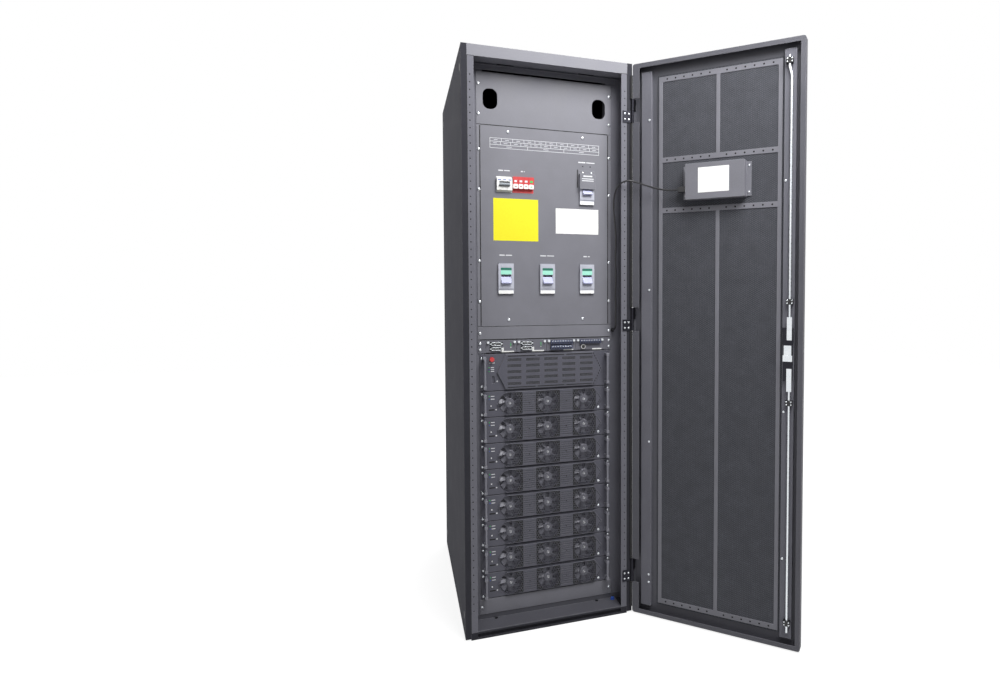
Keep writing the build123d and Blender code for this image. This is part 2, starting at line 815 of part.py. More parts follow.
# fan rotor: a domed hub with twisted, swept blades, seated on the floor of its bay
def fan_rotor():
    profile = Polyline((0, 0), (fan_hub_radius, 0), (fan_hub_radius, fan_hub_height - fan_hub_dome),
                       (fan_hub_radius - fan_hub_dome, fan_hub_height), (0, fan_hub_height), close=True)
    rotor = revolve(Plane.XZ * make_face(profile), Axis.Z)
    root = blade_section(fan_hub_radius - fan_hub_dome, fan_root_angle, fan_root_chord)
    tip = Rot(0, 0, fan_sweep_angle) * blade_section(fan_tip_radius, fan_tip_angle, fan_tip_chord)
    blade = loft([root, tip], ruled=True)
    rotor += [Rot(0, 0, index * 360 / fan_blade_count) * blade for index in range(fan_blade_count)]
    return Pos(0, bay_back, 0) * Rot(90, 0, 0) * rotor


module_height = module_pitch - module_gap
module_middles = [module_bottom + module_pitch * index + module_height / 2 for index in range(module_count)]
module = power_module(module_height)
rotor = fan_rotor()
save("power_modules", *[Pos(0, 0, middle) * module for middle in module_middles])
save("fan_rotors", *[Pos(x, 0, middle) * rotor for middle in module_middles for x in fan_columns])

# bypass module with its louvred field and the socket of the stop button
bypass_height = bypass_pitch - module_gap
bypass_middle = bypass_bottom + bypass_height / 2
button_row = bypass_bottom + bypass_height - button_drop
field_middle = (field_left + field_right) / 2
bypass = module_shell(bypass_middle, bypass_height)
for louvre in GridLocations(louvre_pitch_x, louvre_pitch_z, louvre_columns, louvre_rows):
    row = bypass_middle + louvre.position.Y
    bypass -= [plate(Rectangle(louvre_width, louvre_slit), field_middle + louvre.position.X,
                     row + slit.position.Y, field_front, field_front + louvre_depth)
               for slit in GridLocations(louvre_width, louvre_slit_pitch, 1, louvre_slit_count)]
edge_slit_spread = bypass_height - 2 * field_margin - 2 * edge_slit_inset - edge_slit
bypass -= [plate(Rectangle(edge_slit_width, edge_slit), field_middle + slit.position.X,
                 bypass_middle + slit.position.Y, field_front, field_front + louvre_depth)
           for slit in GridLocations(edge_slit_pitch, edge_slit_spread, edge_slit_count, 2)]
bypass -= plate(Rectangle(port_width, port_height), port_column, bypass_bottom + port_rise,
                module_front, module_front + port_depth)
bypass -= bar_y(button_radius + fit_clearance, button_column, module_front,
                module_front + button_socket_depth, button_row)
save("bypass_module", bypass)
button_seat = module_front + button_socket_depth - button_travel - fit_clearance
stop_button = bar_y(button_radius, button_column, button_seat - button_height, button_seat, button_row)
save("stop_button", stop_button)

# pull handles: a round bar on two blocks at each side of every module
handle_bars = []
handle_blocks = []
bar_axis = module_front - handle_reach + handle_bar_radius
for middle, height in [(z, module_height) for z in module_middles] + [(bypass_middle, bypass_height)]:
    for side in (-1, 1):
        x = side * handle_spread / 2
        low = middle - height / 2 + handle_end_margin
        high = middle + height / 2 - handle_end_margin
        handle_bars.append(bar_z(handle_bar_radius, x, bar_axis, low + handle_block_height,
                                 high - handle_block_height))
        for z in (low, high - handle_block_height):
            handle_blocks.append(block(x - handle_block_width / 2, x + handle_block_width / 2,
                                       module_front - handle_reach, module_front,
                                       z, z + handle_block_height))
save("handle_bars", *handle_bars)
save("handle_blocks", *handle_blocks)

# door: pieces drawn shut and swung open about the hinge axis on its right
door_back = front - door_gap
door_front = door_back - door_thickness
door_bottom = door_lift
door_top = body_height - door_headroom
hinge_axis = Axis((half_width, door_back, 0), (0, 0, 1))
sheet_back = door_front + door_sheet


def swung(shape):
    return shape.rotate(hinge_axis, door_open_angle)


def save_door(node, *solids):
    save(node, *[swung(solid) for solid in solids])


# place across the door, counted from its hinge edge
def across(distance):
    return half_width - distance


field_x0 = across(field_from_hinge + field_width)
field_x1 = across(field_from_hinge)
field_top = door_top - field_headroom
field_x = (field_x0 + field_x1) / 2
field_z = (field_rise + field_top) / 2
hinge_heights = (hinge_low, body_height - hinge_middle_drop, body_height - hinge_high_drop)
handle_x = across(handle_from_hinge)

door_blank = block(-half_width, half_width, door_front, door_back, door_bottom, door_top)
door_blank = fillet(door_blank.edges().filter_by(Axis.Y), door_corner)
door_frame = door_blank - block(-half_width + door_sheet, half_width - door_sheet, sheet_back,
                                door_back - door_sheet, door_bottom + door_sheet, door_top - door_sheet)
door_frame -= block(-half_width + door_return, half_width - door_hinge_return, sheet_back, door_back,
                    door_bottom + door_return, door_top - door_return)
door_frame -= block(field_x0, field_x1, door_front, sheet_back, field_rise, field_top)
for z in hinge_heights:
    door_frame -= block(half_width - hinge_leaf_width, half_width, door_back - hinge_notch, door_back,
                        z - hinge_length / 2 - seam, z + hinge_length / 2 + seam)
door_frame -= bar_y(spindle_radius + fit_clearance, handle_x, door_front, sheet_back, handle_pivot_height)
save_door("door_frame", door_frame)

save_door("door_mesh", block(field_x0, field_x1, door_front, door_front + mesh_sheet, field_rise, field_top))

# display behind the mesh: bezel and screen outside, housing inside
display_x = across(display_from_hinge)
display_rise = door_top - display_drop
bezel_front = door_front - bezel_proud
bezel = plate(RectangleRounded(bezel_width, bezel_height, bezel_corner), display_x, display_rise,
              bezel_front, door_front)
screen_z = display_rise + screen_shift_z
screen = plate(Rectangle(screen_width, screen_height), display_x, screen_z,
               bezel_front, bezel_front + screen_glass)
save_door("display_bezel", bezel - screen)
save_door("display_screen", screen)
box_back = sheet_back + display_box_depth
display_box = plate(RectangleRounded(display_box_width, display_box_height, display_box_corner),
                    display_x, display_rise, sheet_back, box_back)
bar_display_bottom = display_rise - bar_below_display
bar_display_top = display_rise + bar_above_display
bar_front = sheet_back + filter_thickness
ear_half = display_box_height / 2 - display_ear_margin
bar_back = bar_front + bar_sheet
for side in (-1, 1):
    edge = display_x + side * display_box_width / 2
    display_box += block(edge, edge + side * display_ear_width, bar_back, bar_back + display_ear_sheet,
                         display_rise - ear_half, display_rise + ear_half)
save_door("display_box", display_box)

# dust filter behind the mesh, cut out round the display housing
filter_sheet = block(field_x0 - filter_margin, field_x1 + filter_margin, sheet_back, bar_front,
                     field_rise - filter_margin, field_top + filter_margin)
housing_outline = Rectangle(display_box_width + 2 * seam, display_box_height + 2 * seam)
housing_cut = plate(housing_outline, display_x, display_rise, sheet_back, bar_back)
save_door("dust_filter", filter_sheet - housing_cut)


# flat bars that hold the filter
def retainer(x0, x1, z0, z1):
    return block(x0, x1, bar_front, bar_back, z0, z1)


bar_half = bar_width / 2
bars = retainer(field_x0, field_x1, field_rise, field_top)
bars -= retainer(field_x0 + bar_upright_width, field_x1 - bar_upright_width,
                 field_rise + bar_width, field_top - bar_width)
for z in (bar_display_bottom, bar_display_top):
    bars += retainer(field_x0, field_x1, z - bar_half, z + bar_half)
for z0, z1 in ((field_rise, bar_display_bottom), (bar_display_top, field_top)):
    bars += retainer(field_x - bar_upright_width / 2, field_x + bar_upright_width / 2, z0, z1)
for z in (field_rise + bar_half, bar_display_bottom, bar_display_top, field_top - bar_half):
    for half in (field_x - field_width / 4, field_x + field_width / 4):
        bars -= [bar_y(bar_hole_diameter / 2, half + hole.position.X, bar_front, bar_back, z)
                 for hole in GridLocations(bar_hole_pitch, bar_width, bar_hole_count, 1)]
save_door("filter_bars", bars)

# stiffeners: a folded channel up each side of the door
stiffener_back = door_back - stiffener_setback


def stiffener(x0, x1):
    z0 = door_bottom + stiffener_end
    z1 = door_top - stiffener_end
    channel = block(x0, x1, sheet_back, stiffener_back, z0, z1)
    return channel - block(x0 + door_sheet, x1 - door_sheet, sheet_back, stiffener_back - door_sheet, z0, z1)


latch_edge = -half_width + stiffener_from_edge
latch_stiffener = stiffener(latch_edge, latch_edge + stiffener_width)
latch_stiffener -= bar_y(spindle_radius + fit_clearance, handle_x, sheet_back, stiffener_back,
                         handle_pivot_height)
hinge_edge = half_width - stiffener_from_edge
save_door("door_stiffeners", stiffener(hinge_edge - stiffener_width, hinge_edge), latch_stiffener)

# hinges: a leaf and lower knuckle with its pin on the frame, an upper knuckle and leaf on the door
frame_leaves = []
door_leaves = []
leaf_front = front - hinge_leaf_sheet
for z in hinge_heights:
    low = z - hinge_length / 2
    high = z + hinge_length / 2
    leaf = block(half_width - hinge_leaf_width, half_width, leaf_front, front, low, z - hinge_end_gap)
    leaf += bar_z(hinge_knuckle_radius, half_width, door_back, low, z - hinge_end_gap)
    leaf += bar_z(hinge_pin_radius, half_width, door_back, low, high)
    frame_leaves.append(leaf)
    wing = block(half_width - door_sheet - hinge_leaf_sheet, half_width - door_sheet,
                 door_back - hinge_door_leaf_width, door_back, z, high)
    wing += bar_z(hinge_knuckle_radius, half_width, door_back, z, high)
    wing -= bar_z(hinge_pin_radius + fit_clearance, half_width, door_back, z, high)
    door_leaves.append(wing)
save("frame_hinges", *frame_leaves)
save_door("door_hinges", *door_leaves)

# swing handle: base on the door, a hub that turns in it, a lever that lifts from the hub
base_front = door_front - handle_base_sheet
base_length = handle_base_above + handle_base_below
base_middle = handle_pivot_height + (handle_base_above - handle_base_below) / 2
handle_base = plate(SlotOverall(base_length, handle_base_width, rotation=90), handle_x, base_middle,
                    base_front, door_front)
handle_base -= bar_y(hub_radius + fit_clearance, handle_x, base_front, door_front, handle_pivot_height)
save_door("handle_base", handle_base)

lever_back = base_front - lever_lift_gap
lever_axis = lever_back - lever_thickness / 2
lever_front = lever_back - lever_thickness
spindle_end = stiffener_back + latch_box_depth / 2
hub = bar_y(hub_radius, handle_x, lever_back + fit_clearance, door_front, handle_pivot_height)
hub += bar_y(spindle_radius, handle_x, door_front, spindle_end, handle_pivot_height)
tongue_round = lever_thickness / 2 - fit_clearance
tongue_left = handle_x - tongue_width / 2
tongue_right = handle_x + tongue_width / 2
hub += block(tongue_left, tongue_right, lever_axis, door_front - fit_clearance,
             handle_pivot_height - tongue_round, handle_pivot_height + tongue_round)
hub += bar_x(tongue_round, tongue_left, tongue_right, lever_axis, handle_pivot_height)
hub += bar_x(lever_pin_radius, handle_x - lever_width / 2, handle_x + lever_width / 2, lever_axis,
             handle_pivot_height)
save_door("handle_hub", hub)

lever_tip = handle_pivot_height - lever_length
with BuildSketch(Plane.YZ) as lever_side:
    with BuildLine():
        Line((lever_back, handle_pivot_height), (lever_back, lever_tip))
        Line((lever_back, lever_tip), (lever_back - lever_tip_thickness, lever_tip))
        Line((lever_back - lever_tip_thickness, lever_tip), (lever_front, handle_pivot_height))
        ThreePointArc((lever_front, handle_pivot_height),
                      (lever_axis, handle_pivot_height + lever_thickness / 2),
                      (lever_back, handle_pivot_height))
    make_face()
lever = Pos(handle_x - lever_width / 2, 0, 0) * extrude(lever_side.sketch, amount=lever_width)
slot_half = tongue_width / 2 + fit_clearance
lever -= block(handle_x - slot_half, handle_x + slot_half, lever_front, lever_back,
               handle_pivot_height - lever_slot_length, handle_pivot_height + lever_thickness)
lever -= bar_x(lever_pin_radius + fit_clearance, handle_x - lever_width, handle_x + lever_width, lever_axis,
               handle_pivot_height)
lock_z = handle_pivot_height - lever_lock_drop
lever -= bar_y(lever_lock_radius, handle_x, lever_front, lever_back, lock_z)
save_door("handle_lever", lever)
lever_lock = bar_y(lever_lock_radius, handle_x, lever_front - lever_lock_proud, lever_back, lock_z)
save_door("handle_lock", lever_lock)

# latch: gear box behind the handle, two rods in guides up and down the stiffener
latch_top = handle_pivot_height + latch_box_above
latch_low = handle_pivot_height - latch_box_below
case_low = latch_low - latch_case_length
latch_back = stiffener_back + latch_box_depth
latch_box = block(handle_x - latch_box_width / 2, handle_x + latch_box_width / 2, stiffener_back, latch_back,
                  latch_low, latch_top)
latch_box += block(handle_x - latch_case_width / 2, handle_x + latch_case_width / 2,
                   stiffener_back, latch_back, case_low, latch_low)
latch_box -= bar_y(spindle_radius + fit_clearance, handle_x, stiffener_back, spindle_end + fit_clearance,
                   handle_pivot_height)
save_door("latch_box", latch_box)
cover_top = latch_low - rod_seat
cover_low = cover_top - latch_cover_length
latch_cover = block(handle_x - latch_cover_width / 2, handle_x + latch_cover_width / 2,
                    latch_back, latch_back + latch_cover_sheet, cover_low, cover_top)
latch_cover += block(handle_x - latch_case_width / 2, handle_x + latch_case_width / 2,
                     latch_back, latch_back + latch_clip_sheet, cover_low, cover_low + latch_clip_length)
save_door("latch_cover", latch_cover)

rod_x = handle_x - rod_shift
rod_y = stiffener_back + rod_seat + rod_radius
tongue_front = latch_back + fit_clearance
upper_start = latch_top + rod_stroke + seam
lower_start = case_low - rod_stroke - seam
tip_x = rod_x + rod_bend_shift
rod_upper_tip = door_top - rod_tip_inset
rod_lower_tip = door_bottom + rod_tip_inset
rod_bend_high = rod_upper_tip - rod_bend_drop
rod_bend_low = rod_bend_high - rod_bend_rise
upper_path = FilletPolyline((rod_x, rod_y, upper_start), (rod_x, rod_y, rod_bend_low),
                            (tip_x, rod_y, rod_bend_high), (tip_x, rod_y, rod_upper_tip),
                            radius=rod_bend_radius)
upper_rod = sweep(Plane((rod_x, rod_y, upper_start)) * Circle(rod_radius), path=upper_path)


def rod_tongue(z0, z1):
    return block(rod_x - rod_tongue_width / 2, rod_x + rod_tongue_width / 2, tongue_front,
                 tongue_front + rod_tongue_sheet, z0, z1)


upper_rod += rod_tongue(latch_top - rod_tongue_lap, upper_start + rod_tongue_lap / 2)
lower_rod = bar_z(rod_radius, rod_x, rod_y, rod_lower_tip, lower_start)
lower_rod += rod_tongue(lower_start - rod_tongue_lap / 2, case_low + rod_tongue_lap)
save_door("upper_rod", upper_rod)
save_door("lower_rod", lower_rod)

guide_back = rod_y + rod_radius + rod_seat


def rod_guide(x, z):
    guide = block(x - guide_width / 2, x + guide_width / 2, stiffener_back, guide_back,
                  z - guide_height / 2, z + guide_height / 2)
    return guide - bar_z(rod_radius + fit_clearance, x, rod_y, z - guide_height / 2, z + guide_height / 2)


save_door("rod_guides", rod_guide(rod_x, rod_lower_tip + guide_low_rise),
          rod_guide(rod_x, handle_pivot_height - guide_below_handle),
          rod_guide(rod_x, handle_pivot_height + guide_above_handle),
          rod_guide(tip_x, rod_upper_tip - guide_top_drop))

# plug of the display lead on the hinge side of the housing, grommet on the right rail
plug_z = display_rise - plug_drop
plug_end = display_x + display_box_width / 2
plug = block(plug_end, plug_end + plug_length, door_back - plug_width / 2, door_back + plug_width / 2,
             plug_z - plug_height / 2, plug_z + plug_height / 2)
plug = fillet(plug.edges().filter_by(Axis.X), display_box_corner)
save_door("display_plug", plug)
save("cable_grommet", bar_y(grommet_radius, grommet_column, face - grommet_length, face, grommet_height))


# largest arc that fits each corner of the lead
def bend_radii(points):
    radii = []
    for before, corner, after in zip(points, points[1:], points[2:]):
        into = Vector(*corner) - Vector(*before)
        out = Vector(*after) - Vector(*corner)
        shorter = min(into.length, out.length)
        radii.append(cable_bend_share * shorter / math.tan(math.radians(into.get_angle(out)) / 2))
    return radii


radii = bend_radii(cable_route)
print("lead radii", [round(radius) for radius in radii])
cable_path = FilletPolyline(*cable_route, radius=radii)
cable_section = Plane(origin=cable_route[0], z_dir=cable_path.tangent_at(0)) * Circle(cable_diameter / 2)
cable = sweep(cable_section, path=cable_path)
print("lead volume", round(cable.volume), "section by length",
      round(math.pi * cable_diameter ** 2 / 4 * cable_path.length))
save("display_cable", cable)
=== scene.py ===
import json
import math
from functools import partial

import bmesh
import bpy
from mathutils import Matrix, Vector, noise


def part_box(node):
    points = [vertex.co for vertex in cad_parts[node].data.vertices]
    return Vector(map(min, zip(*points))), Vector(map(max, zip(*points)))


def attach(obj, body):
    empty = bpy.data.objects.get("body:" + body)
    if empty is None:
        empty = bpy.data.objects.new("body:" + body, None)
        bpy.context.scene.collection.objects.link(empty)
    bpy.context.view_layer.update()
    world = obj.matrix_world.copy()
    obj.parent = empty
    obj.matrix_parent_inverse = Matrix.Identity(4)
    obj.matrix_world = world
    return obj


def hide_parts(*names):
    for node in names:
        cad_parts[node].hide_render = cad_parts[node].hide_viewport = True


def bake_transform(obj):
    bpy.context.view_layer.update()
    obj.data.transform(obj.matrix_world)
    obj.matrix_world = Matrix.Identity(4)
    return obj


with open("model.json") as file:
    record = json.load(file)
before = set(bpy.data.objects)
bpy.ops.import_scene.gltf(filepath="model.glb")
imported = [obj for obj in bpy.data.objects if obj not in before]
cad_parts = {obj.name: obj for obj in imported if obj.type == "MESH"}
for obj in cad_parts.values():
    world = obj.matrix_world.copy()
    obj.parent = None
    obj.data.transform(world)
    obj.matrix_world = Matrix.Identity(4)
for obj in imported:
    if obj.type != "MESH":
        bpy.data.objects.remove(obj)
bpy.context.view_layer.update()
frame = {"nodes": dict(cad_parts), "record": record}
scene = bpy.context.scene
scene.view_settings.view_transform = "Standard"
mm = 0.001
print("frame loaded,", len(frame["nodes"]), "nodes")

# camera at the photograph's viewpoint, a little left of the cabinet at chest height
cameraPlace = dict(
    lens=22.31, sensor=36, shift=(-0.1134, -0.0306), place=(-0.502, -2.539, 1.191), turn=(87.91, 0, -19.14)
)
cameraData = bpy.data.cameras.new("photoCamera")
cameraData.lens, cameraData.sensor_width = cameraPlace["lens"], cameraPlace["sensor"]
cameraData.sensor_fit = "HORIZONTAL"
cameraData.shift_x, cameraData.shift_y = cameraPlace["shift"]
camera = bpy.data.objects.new("photoCamera", cameraData)
camera.location = cameraPlace["place"]
camera.rotation_euler = [math.radians(angle) for angle in cameraPlace["turn"]]
scene.collection.objects.link(camera)
scene.camera = camera

# the door is drawn shut and then swung open about its hinge line
swing = next(joint for joint in frame["record"]["behaviour"]["joints"] if joint["name"] == "door_swing")
hinge = Vector(swing["pos_m"])
restSwing = 135
doorTurn = Matrix.Rotation(math.radians(restSwing), 4, "Z")
openDoor = Matrix.Translation(hinge) @ doorTurn @ Matrix.Translation(-hinge)


def toLinear(code):
    channels = [int(code[place:place + 2], 16) / 255 for place in (1, 3, 5)]
    return tuple(c / 12.92 if c <= 0.04045 else ((c + 0.055) / 1.055) ** 2.4 for c in channels) + (1,)


# adds a node, sets its sockets or properties, and links what is given as a socket or another node
def addNode(tree, kind, settings):
    node = tree.nodes.new("ShaderNode" + kind)
    for key, value in settings.items():
        if isinstance(value, bpy.types.Node):
            value = next(socket for socket in value.outputs if socket.enabled)
        if isinstance(value, bpy.types.NodeSocket):
            tree.links.new(value, node.inputs[key])
        elif isinstance(key, int) or key in node.inputs:
            node.inputs[key].default_value = value
        else:
            setattr(node, key, value)
    return node


def startFinish(name):
    finish = bpy.data.materials.new(name)
    finish.use_nodes = True
    tree = finish.node_tree
    tree.nodes.clear()
    add = partial(addNode, tree)
    return finish, add, add("TexCoord", {}).outputs["Object"]


def endFinish(add, settings):
    add("OutputMaterial", {"Surface": add("BsdfPrincipled", settings)})


# sizes in mm of what each pattern draws
patternSize = dict(
    dustCloud=90, orangePeel=2.2, flowMark=35, spangle=5, passivate=18, fibreWisp=3, fibrePatch=40, pulpCloud=6
)


# pattern scale for features of a real size in millimetres
def perMetre(size):
    return 1000 / patternSize.get(size, size)


# powder coat: sprayed polyester baked on steel, a soft satin with fine orange peel, a little dust, and pale edges
# that are partly wear and partly a painted highlight where edges catch the light
def powderCoat(name, colour, dusty, edgeWearAndHighlight, roughness, shine=0.35):
    finish, add, place = startFinish(name)
    cloud = add("TexNoise", {"Vector": place, "Scale": perMetre("dustCloud"), "Detail": 4})
    # orange peel is about 1 mm across, drawn at 2.2 mm so that it shows
    speck = add("TexNoise", {"Vector": place, "Scale": perMetre("orangePeel"), "Detail": 2})
    tone = add("MapRange", {"Value": cloud, "From Min": 0.35, "From Max": 0.7, "To Max": 0.45})
    body = add("Mix", {"data_type": "RGBA", 0: tone, 6: toLinear(colour), 7: toLinear(dusty)})
    grain = add("MapRange", {"Value": speck, "From Min": 0.3, "From Max": 0.75, "To Max": 0.3})
    skin = add("Mix", {"data_type": "RGBA", "blend_type": "SOFT_LIGHT", 0: grain, 6: body, 7: toLinear(dusty)})
    gloss = add("MapRange", {"Value": cloud, "From Min": 0.3, "From Max": 0.7, "To Min": roughness - 0.05,
                             "To Max": roughness + 0.08})
    # pale edges: partly wear where the coat thins over a 1 mm edge, partly a painted highlight, drawn at 2.4 mm so
    # that it shows
    corner = add("Bevel", {"samples": 6, "Radius": 2.4 * mm})
    flat = add("NewGeometry", {}).outputs["Normal"]
    turn = add("VectorMath", {"operation": "DOT_PRODUCT", 0: corner, 1: flat})
    wearAndHighlightShare = add("MapRange", {"Value": turn, "From Min": 0.78, "From Max": 0.98, "To Min": 0.6, "To Max": 0})
    wornAndHighlit = add("Mix", {"data_type": "RGBA", 0: wearAndHighlightShare, 6: skin, 7: toLinear(edgeWearAndHighlight)})
    edge = add("Bevel", {"samples": 4, "Radius": 1.5 * mm})
    peel = add("Bump", {"Strength": 0.18, "Distance": 0.15 * mm, "Height": speck, "Normal": edge})
    endFinish(add, {"Base Color": wornAndHighlit, "Roughness": gloss, "Normal": peel, "Specular IOR Level": shine})
    return finish


# moulded plastic: spark-eroded tool face, an even satin grain with slight flow marks
def mouldedPlastic(name, colour, flow, roughness, grainSize=0.8):
    finish, add, place = startFinish(name)
    grain = add("TexNoise", {"Vector": place, "Scale": perMetre(grainSize), "Detail": 3})
    stream = add("TexNoise", {"Vector": place, "Scale": perMetre("flowMark"), "Detail": 2, "Distortion": 0.8})
    amount = add("MapRange", {"Value": stream, "From Min": 0.35, "From Max": 0.7, "To Max": 0.6})
    tint = add("Mix", {"data_type": "RGBA", 0: amount, 6: toLinear(colour), 7: toLinear(flow)})
    gloss = add("MapRange", {"Value": grain, "From Min": 0.3, "From Max": 0.7, "To Min": roughness - 0.06,
                             "To Max": roughness + 0.08})
    dimple = add("Bump", {"Strength": 0.12, "Distance": 0.08 * mm, "Height": grain})
    endFinish(add, {"Base Color": tint, "Roughness": gloss, "Normal": dimple, "IOR": 1.5})
    return finish


# plated steel: bright zinc with a bluish passivate, faint spangle and drawing lines
def platedSteel(name, colour, passivate, roughness):
    finish, add, place = startFinish(name)
    spangle = add("TexVoronoi", {"Vector": place, "Scale": perMetre("spangle")})
    film = add("TexNoise", {"Vector": place, "Scale": perMetre("passivate"), "Detail": 3})
    tint = add("Mix", {"data_type": "RGBA", 0: film, 6: toLinear(colour), 7: toLinear(passivate)})
    gloss = add("MapRange", {"Value": spangle, "From Max": 0.8, "To Min": roughness - 0.08,
                             "To Max": roughness + 0.1})
    edge = add("Bevel", {"samples": 4, "Radius": 0.6 * mm})
    lines = add("Bump", {"Strength": 0.1, "Distance": 0.1 * mm, "Height": film, "Normal": edge})
    endFinish(add, {"Base Color": tint, "Roughness": gloss, "Normal": lines, "Metallic": 1})
    return finish


# filter pad: needled polyester fibre, a dull fuzzy grey with paler fibres, and paler dots of painted light where
# light comes through the sheet's holes behind it
def needledFibre(name, colour, paleFibre, along, start, pitches):
    finish, add, place = startFinish(name)
    # fibres are finer than a hair, drawn as 3 mm wisps so that the pad reads as grainy
    wisp = add("TexNoise", {"Vector": place, "Scale": perMetre("fibreWisp"), "Detail": 6, "Roughness": 0.75,
                            "Distortion": 1.5})
    patch = add("TexNoise", {"Vector": place, "Scale": perMetre("fibrePatch"), "Detail": 3})
    spread = add("MapRange", {"Value": wisp, "From Min": 0.42, "From Max": 0.72})
    share = add("Math", {"operation": "MULTIPLY", 0: spread, 1: patch})
    tint = add("Mix", {"data_type": "RGBA", 0: share, 6: toLinear(colour), 7: toLinear(paleFibre)})
    run = add("VectorMath", {"operation": "DOT_PRODUCT", 0: place, 1: along})
    rise = add("SeparateXYZ", {"Vector": place}).outputs["Z"]
    waves = []
    for value, begin, turn in ((run, start[0], math.pi / pitches[0]), (rise, start[1], 2 * math.pi / pitches[1])):
        moved = add("Math", {"operation": "SUBTRACT", 0: value, 1: begin})
        angle = add("Math", {"operation": "MULTIPLY", 0: moved, 1: turn})
        waves.append(add("Math", {"operation": "COSINE", 0: angle}))
    # paler dots over the sheet's holes: painted light coming through them
    dots = add("Math", {"operation": "MULTIPLY", 0: waves[0], 1: waves[1]})
    holeLightShare = add("MapRange", {"Value": dots, "From Min": 0.1, "From Max": 0.6, "To Max": 0.4})
    holeLitTint = add("Mix", {"data_type": "RGBA", 0: holeLightShare, 6: tint, 7: toLinear(paleFibre)})
    nap = add("Bump", {"Strength": 0.6, "Distance": 0.6 * mm, "Height": wisp})
    endFinish(add, {"Base Color": holeLitTint, "Normal": nap, "Roughness": 0.95, "Sheen Weight": 0.1})
    return finish


# printed paper stock: calendered pulp, matt with a faint cloudy formation
def paperStock(name, colour, cloudy):
    finish, add, place = startFinish(name)
    pulp = add("TexNoise", {"Vector": place, "Scale": perMetre("pulpCloud"), "Detail": 5})
    tint = add("Mix", {"data_type": "RGBA", 0: pulp, 6: toLinear(colour), 7: toLinear(cloudy)})
    tooth = add("Bump", {"Strength": 0.1, "Distance": 0.05 * mm, "Height": pulp})
    endFinish(add, {"Base Color": tint, "Normal": tooth, "Roughness": 0.7})
    return finish


# lit glass: a backlit panel behind hard-coated glass, its colour changing from foot to top, with a clear reflection
def litGlass(name, low, high, strength):
    finish, add, place = startFinish(name)
    rise = add("SeparateXYZ", {"Vector": place}).outputs["Z"]
    foot, top = (corner.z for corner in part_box("display_screen"))
    climb = add("MapRange", {"Value": rise, "From Min": foot, "From Max": top})
    glow = add("Mix", {"data_type": "RGBA", 0: climb, 6: toLinear(low), 7: toLinear(high)})
    endFinish(add, {"Base Color": glow, "Emission Color": glow, "Emission Strength": strength, "Roughness": 0.12,
                    "IOR": 1.5})
    return finish


# perforated sheet of the door, drawn coarser than the real holes
doorSheet = dict(
    left=-224, right=206, bottom=50, top=1942, outer=-467, inner=-465.8, columns=36, rows=140, holeRadius=4.9
)
cellWide = (doorSheet["right"] - doorSheet["left"]) / doorSheet["columns"]
cellTall = (doorSheet["top"] - doorSheet["bottom"]) / doorSheet["rows"]
# its holes, whose painted light shows as paler dots on the filter, by their distance along the open door and their
# height
alongDoor = doorTurn @ Vector((-1, 0, 0))
holeStart = (hinge.dot(alongDoor) + hinge.x - (doorSheet["right"] - 1.5 * cellWide) * mm,
             (doorSheet["bottom"] + 0.5 * cellTall) * mm)
holePitch = (cellWide / 2 * mm, cellTall / 2 * mm)

finishes = {
    "cabinet_paint": powderCoat("graphitePowderCoat", "#707078", "#7c7c84", "#a2a2aa", 0.64, 0.14),
    "panel_paint": powderCoat("greyPowderCoat", "#78787f", "#84848c", "#ababb2", 0.48),
    "module_paint": powderCoat("slatePowderCoat", "#565660", "#63636d", "#9a9aa3", 0.46),
    "mesh_paint": powderCoat("perforatedPowderCoat", "#3a3a3f", "#47474d", "#47474d", 0.5),
    "zinc": platedSteel("zincPlate", "#e6e8ea", "#d2d8de", 0.28),
    "black_plastic": mouldedPlastic("blackAbs", "#161618", "#222225", 0.42),
    "breaker_plastic": mouldedPlastic("breakerPolyamide", "#b4b6c2", "#c2c4cf", 0.5),
    "toggle_plastic": mouldedPlastic("togglePolyamide", "#b3b6d8", "#bfc2e0", 0.4),
    "white_plastic": mouldedPlastic("whitePolycarbonate", "#e8e8e6", "#f2f2f0", 0.4),
    "red_plastic": mouldedPlastic("redPolycarbonate", "#c93a3c", "#d64f50", 0.38),
    "fan_plastic": mouldedPlastic("fanPolybutylene", "#74747e", "#84848e", 0.43),
    "filter_cloth": needledFibre("needledPolyester", "#323339", "#696b73", alongDoor, holeStart, holePitch),
    "paper": paperStock("whitePaper", "#f4f4f0", "#ffffff"),
    "screen_glass": litGlass("litGlass", "#4a62cc", "#26388e", 0.4),
    "cable_sheath": mouldedPlastic("extrudedPvc", "#17171a", "#242428", 0.38, 1.2),
}
yellowPaper = paperStock("yellowPaper", "#eadf10", "#f4ea1c")
# near-black finish, mostly painted shade laid in slits, gaps, holes, recesses and openings
darkHole = mouldedPlastic("shadowedRecess", "#0c0c0e", "#141416", 0.8)
# painted shade inside the rib slits between the fans
ribSlitShade = powderCoat("paintedRibSlitShade", "#2a2a30", "#34343a", "#34343a", 0.6)
charcoalPaint = powderCoat("charcoalPowderCoat", "#38383e", "#424248", "#6d6d75", 0.85, 0.1)
doorPaint = powderCoat("doorPowderCoat", "#56565d", "#626269", "#92929a", 0.52)
guardPaint = powderCoat("guardPowderCoat", "#5b5b64", "#686871", "#7c7c85", 0.44)
barPaint = powderCoat("barPowderCoat", "#7c7c85", "#8a8a93", "#b4b4bc", 0.36, 0.5)
foamRubber = mouldedPlastic("foamRubber", "#0f0f11", "#1a1a1c", 0.85, 1.5)
oxideSteel = platedSteel("blackOxideSteel", "#34343a", "#26262b", 0.42)
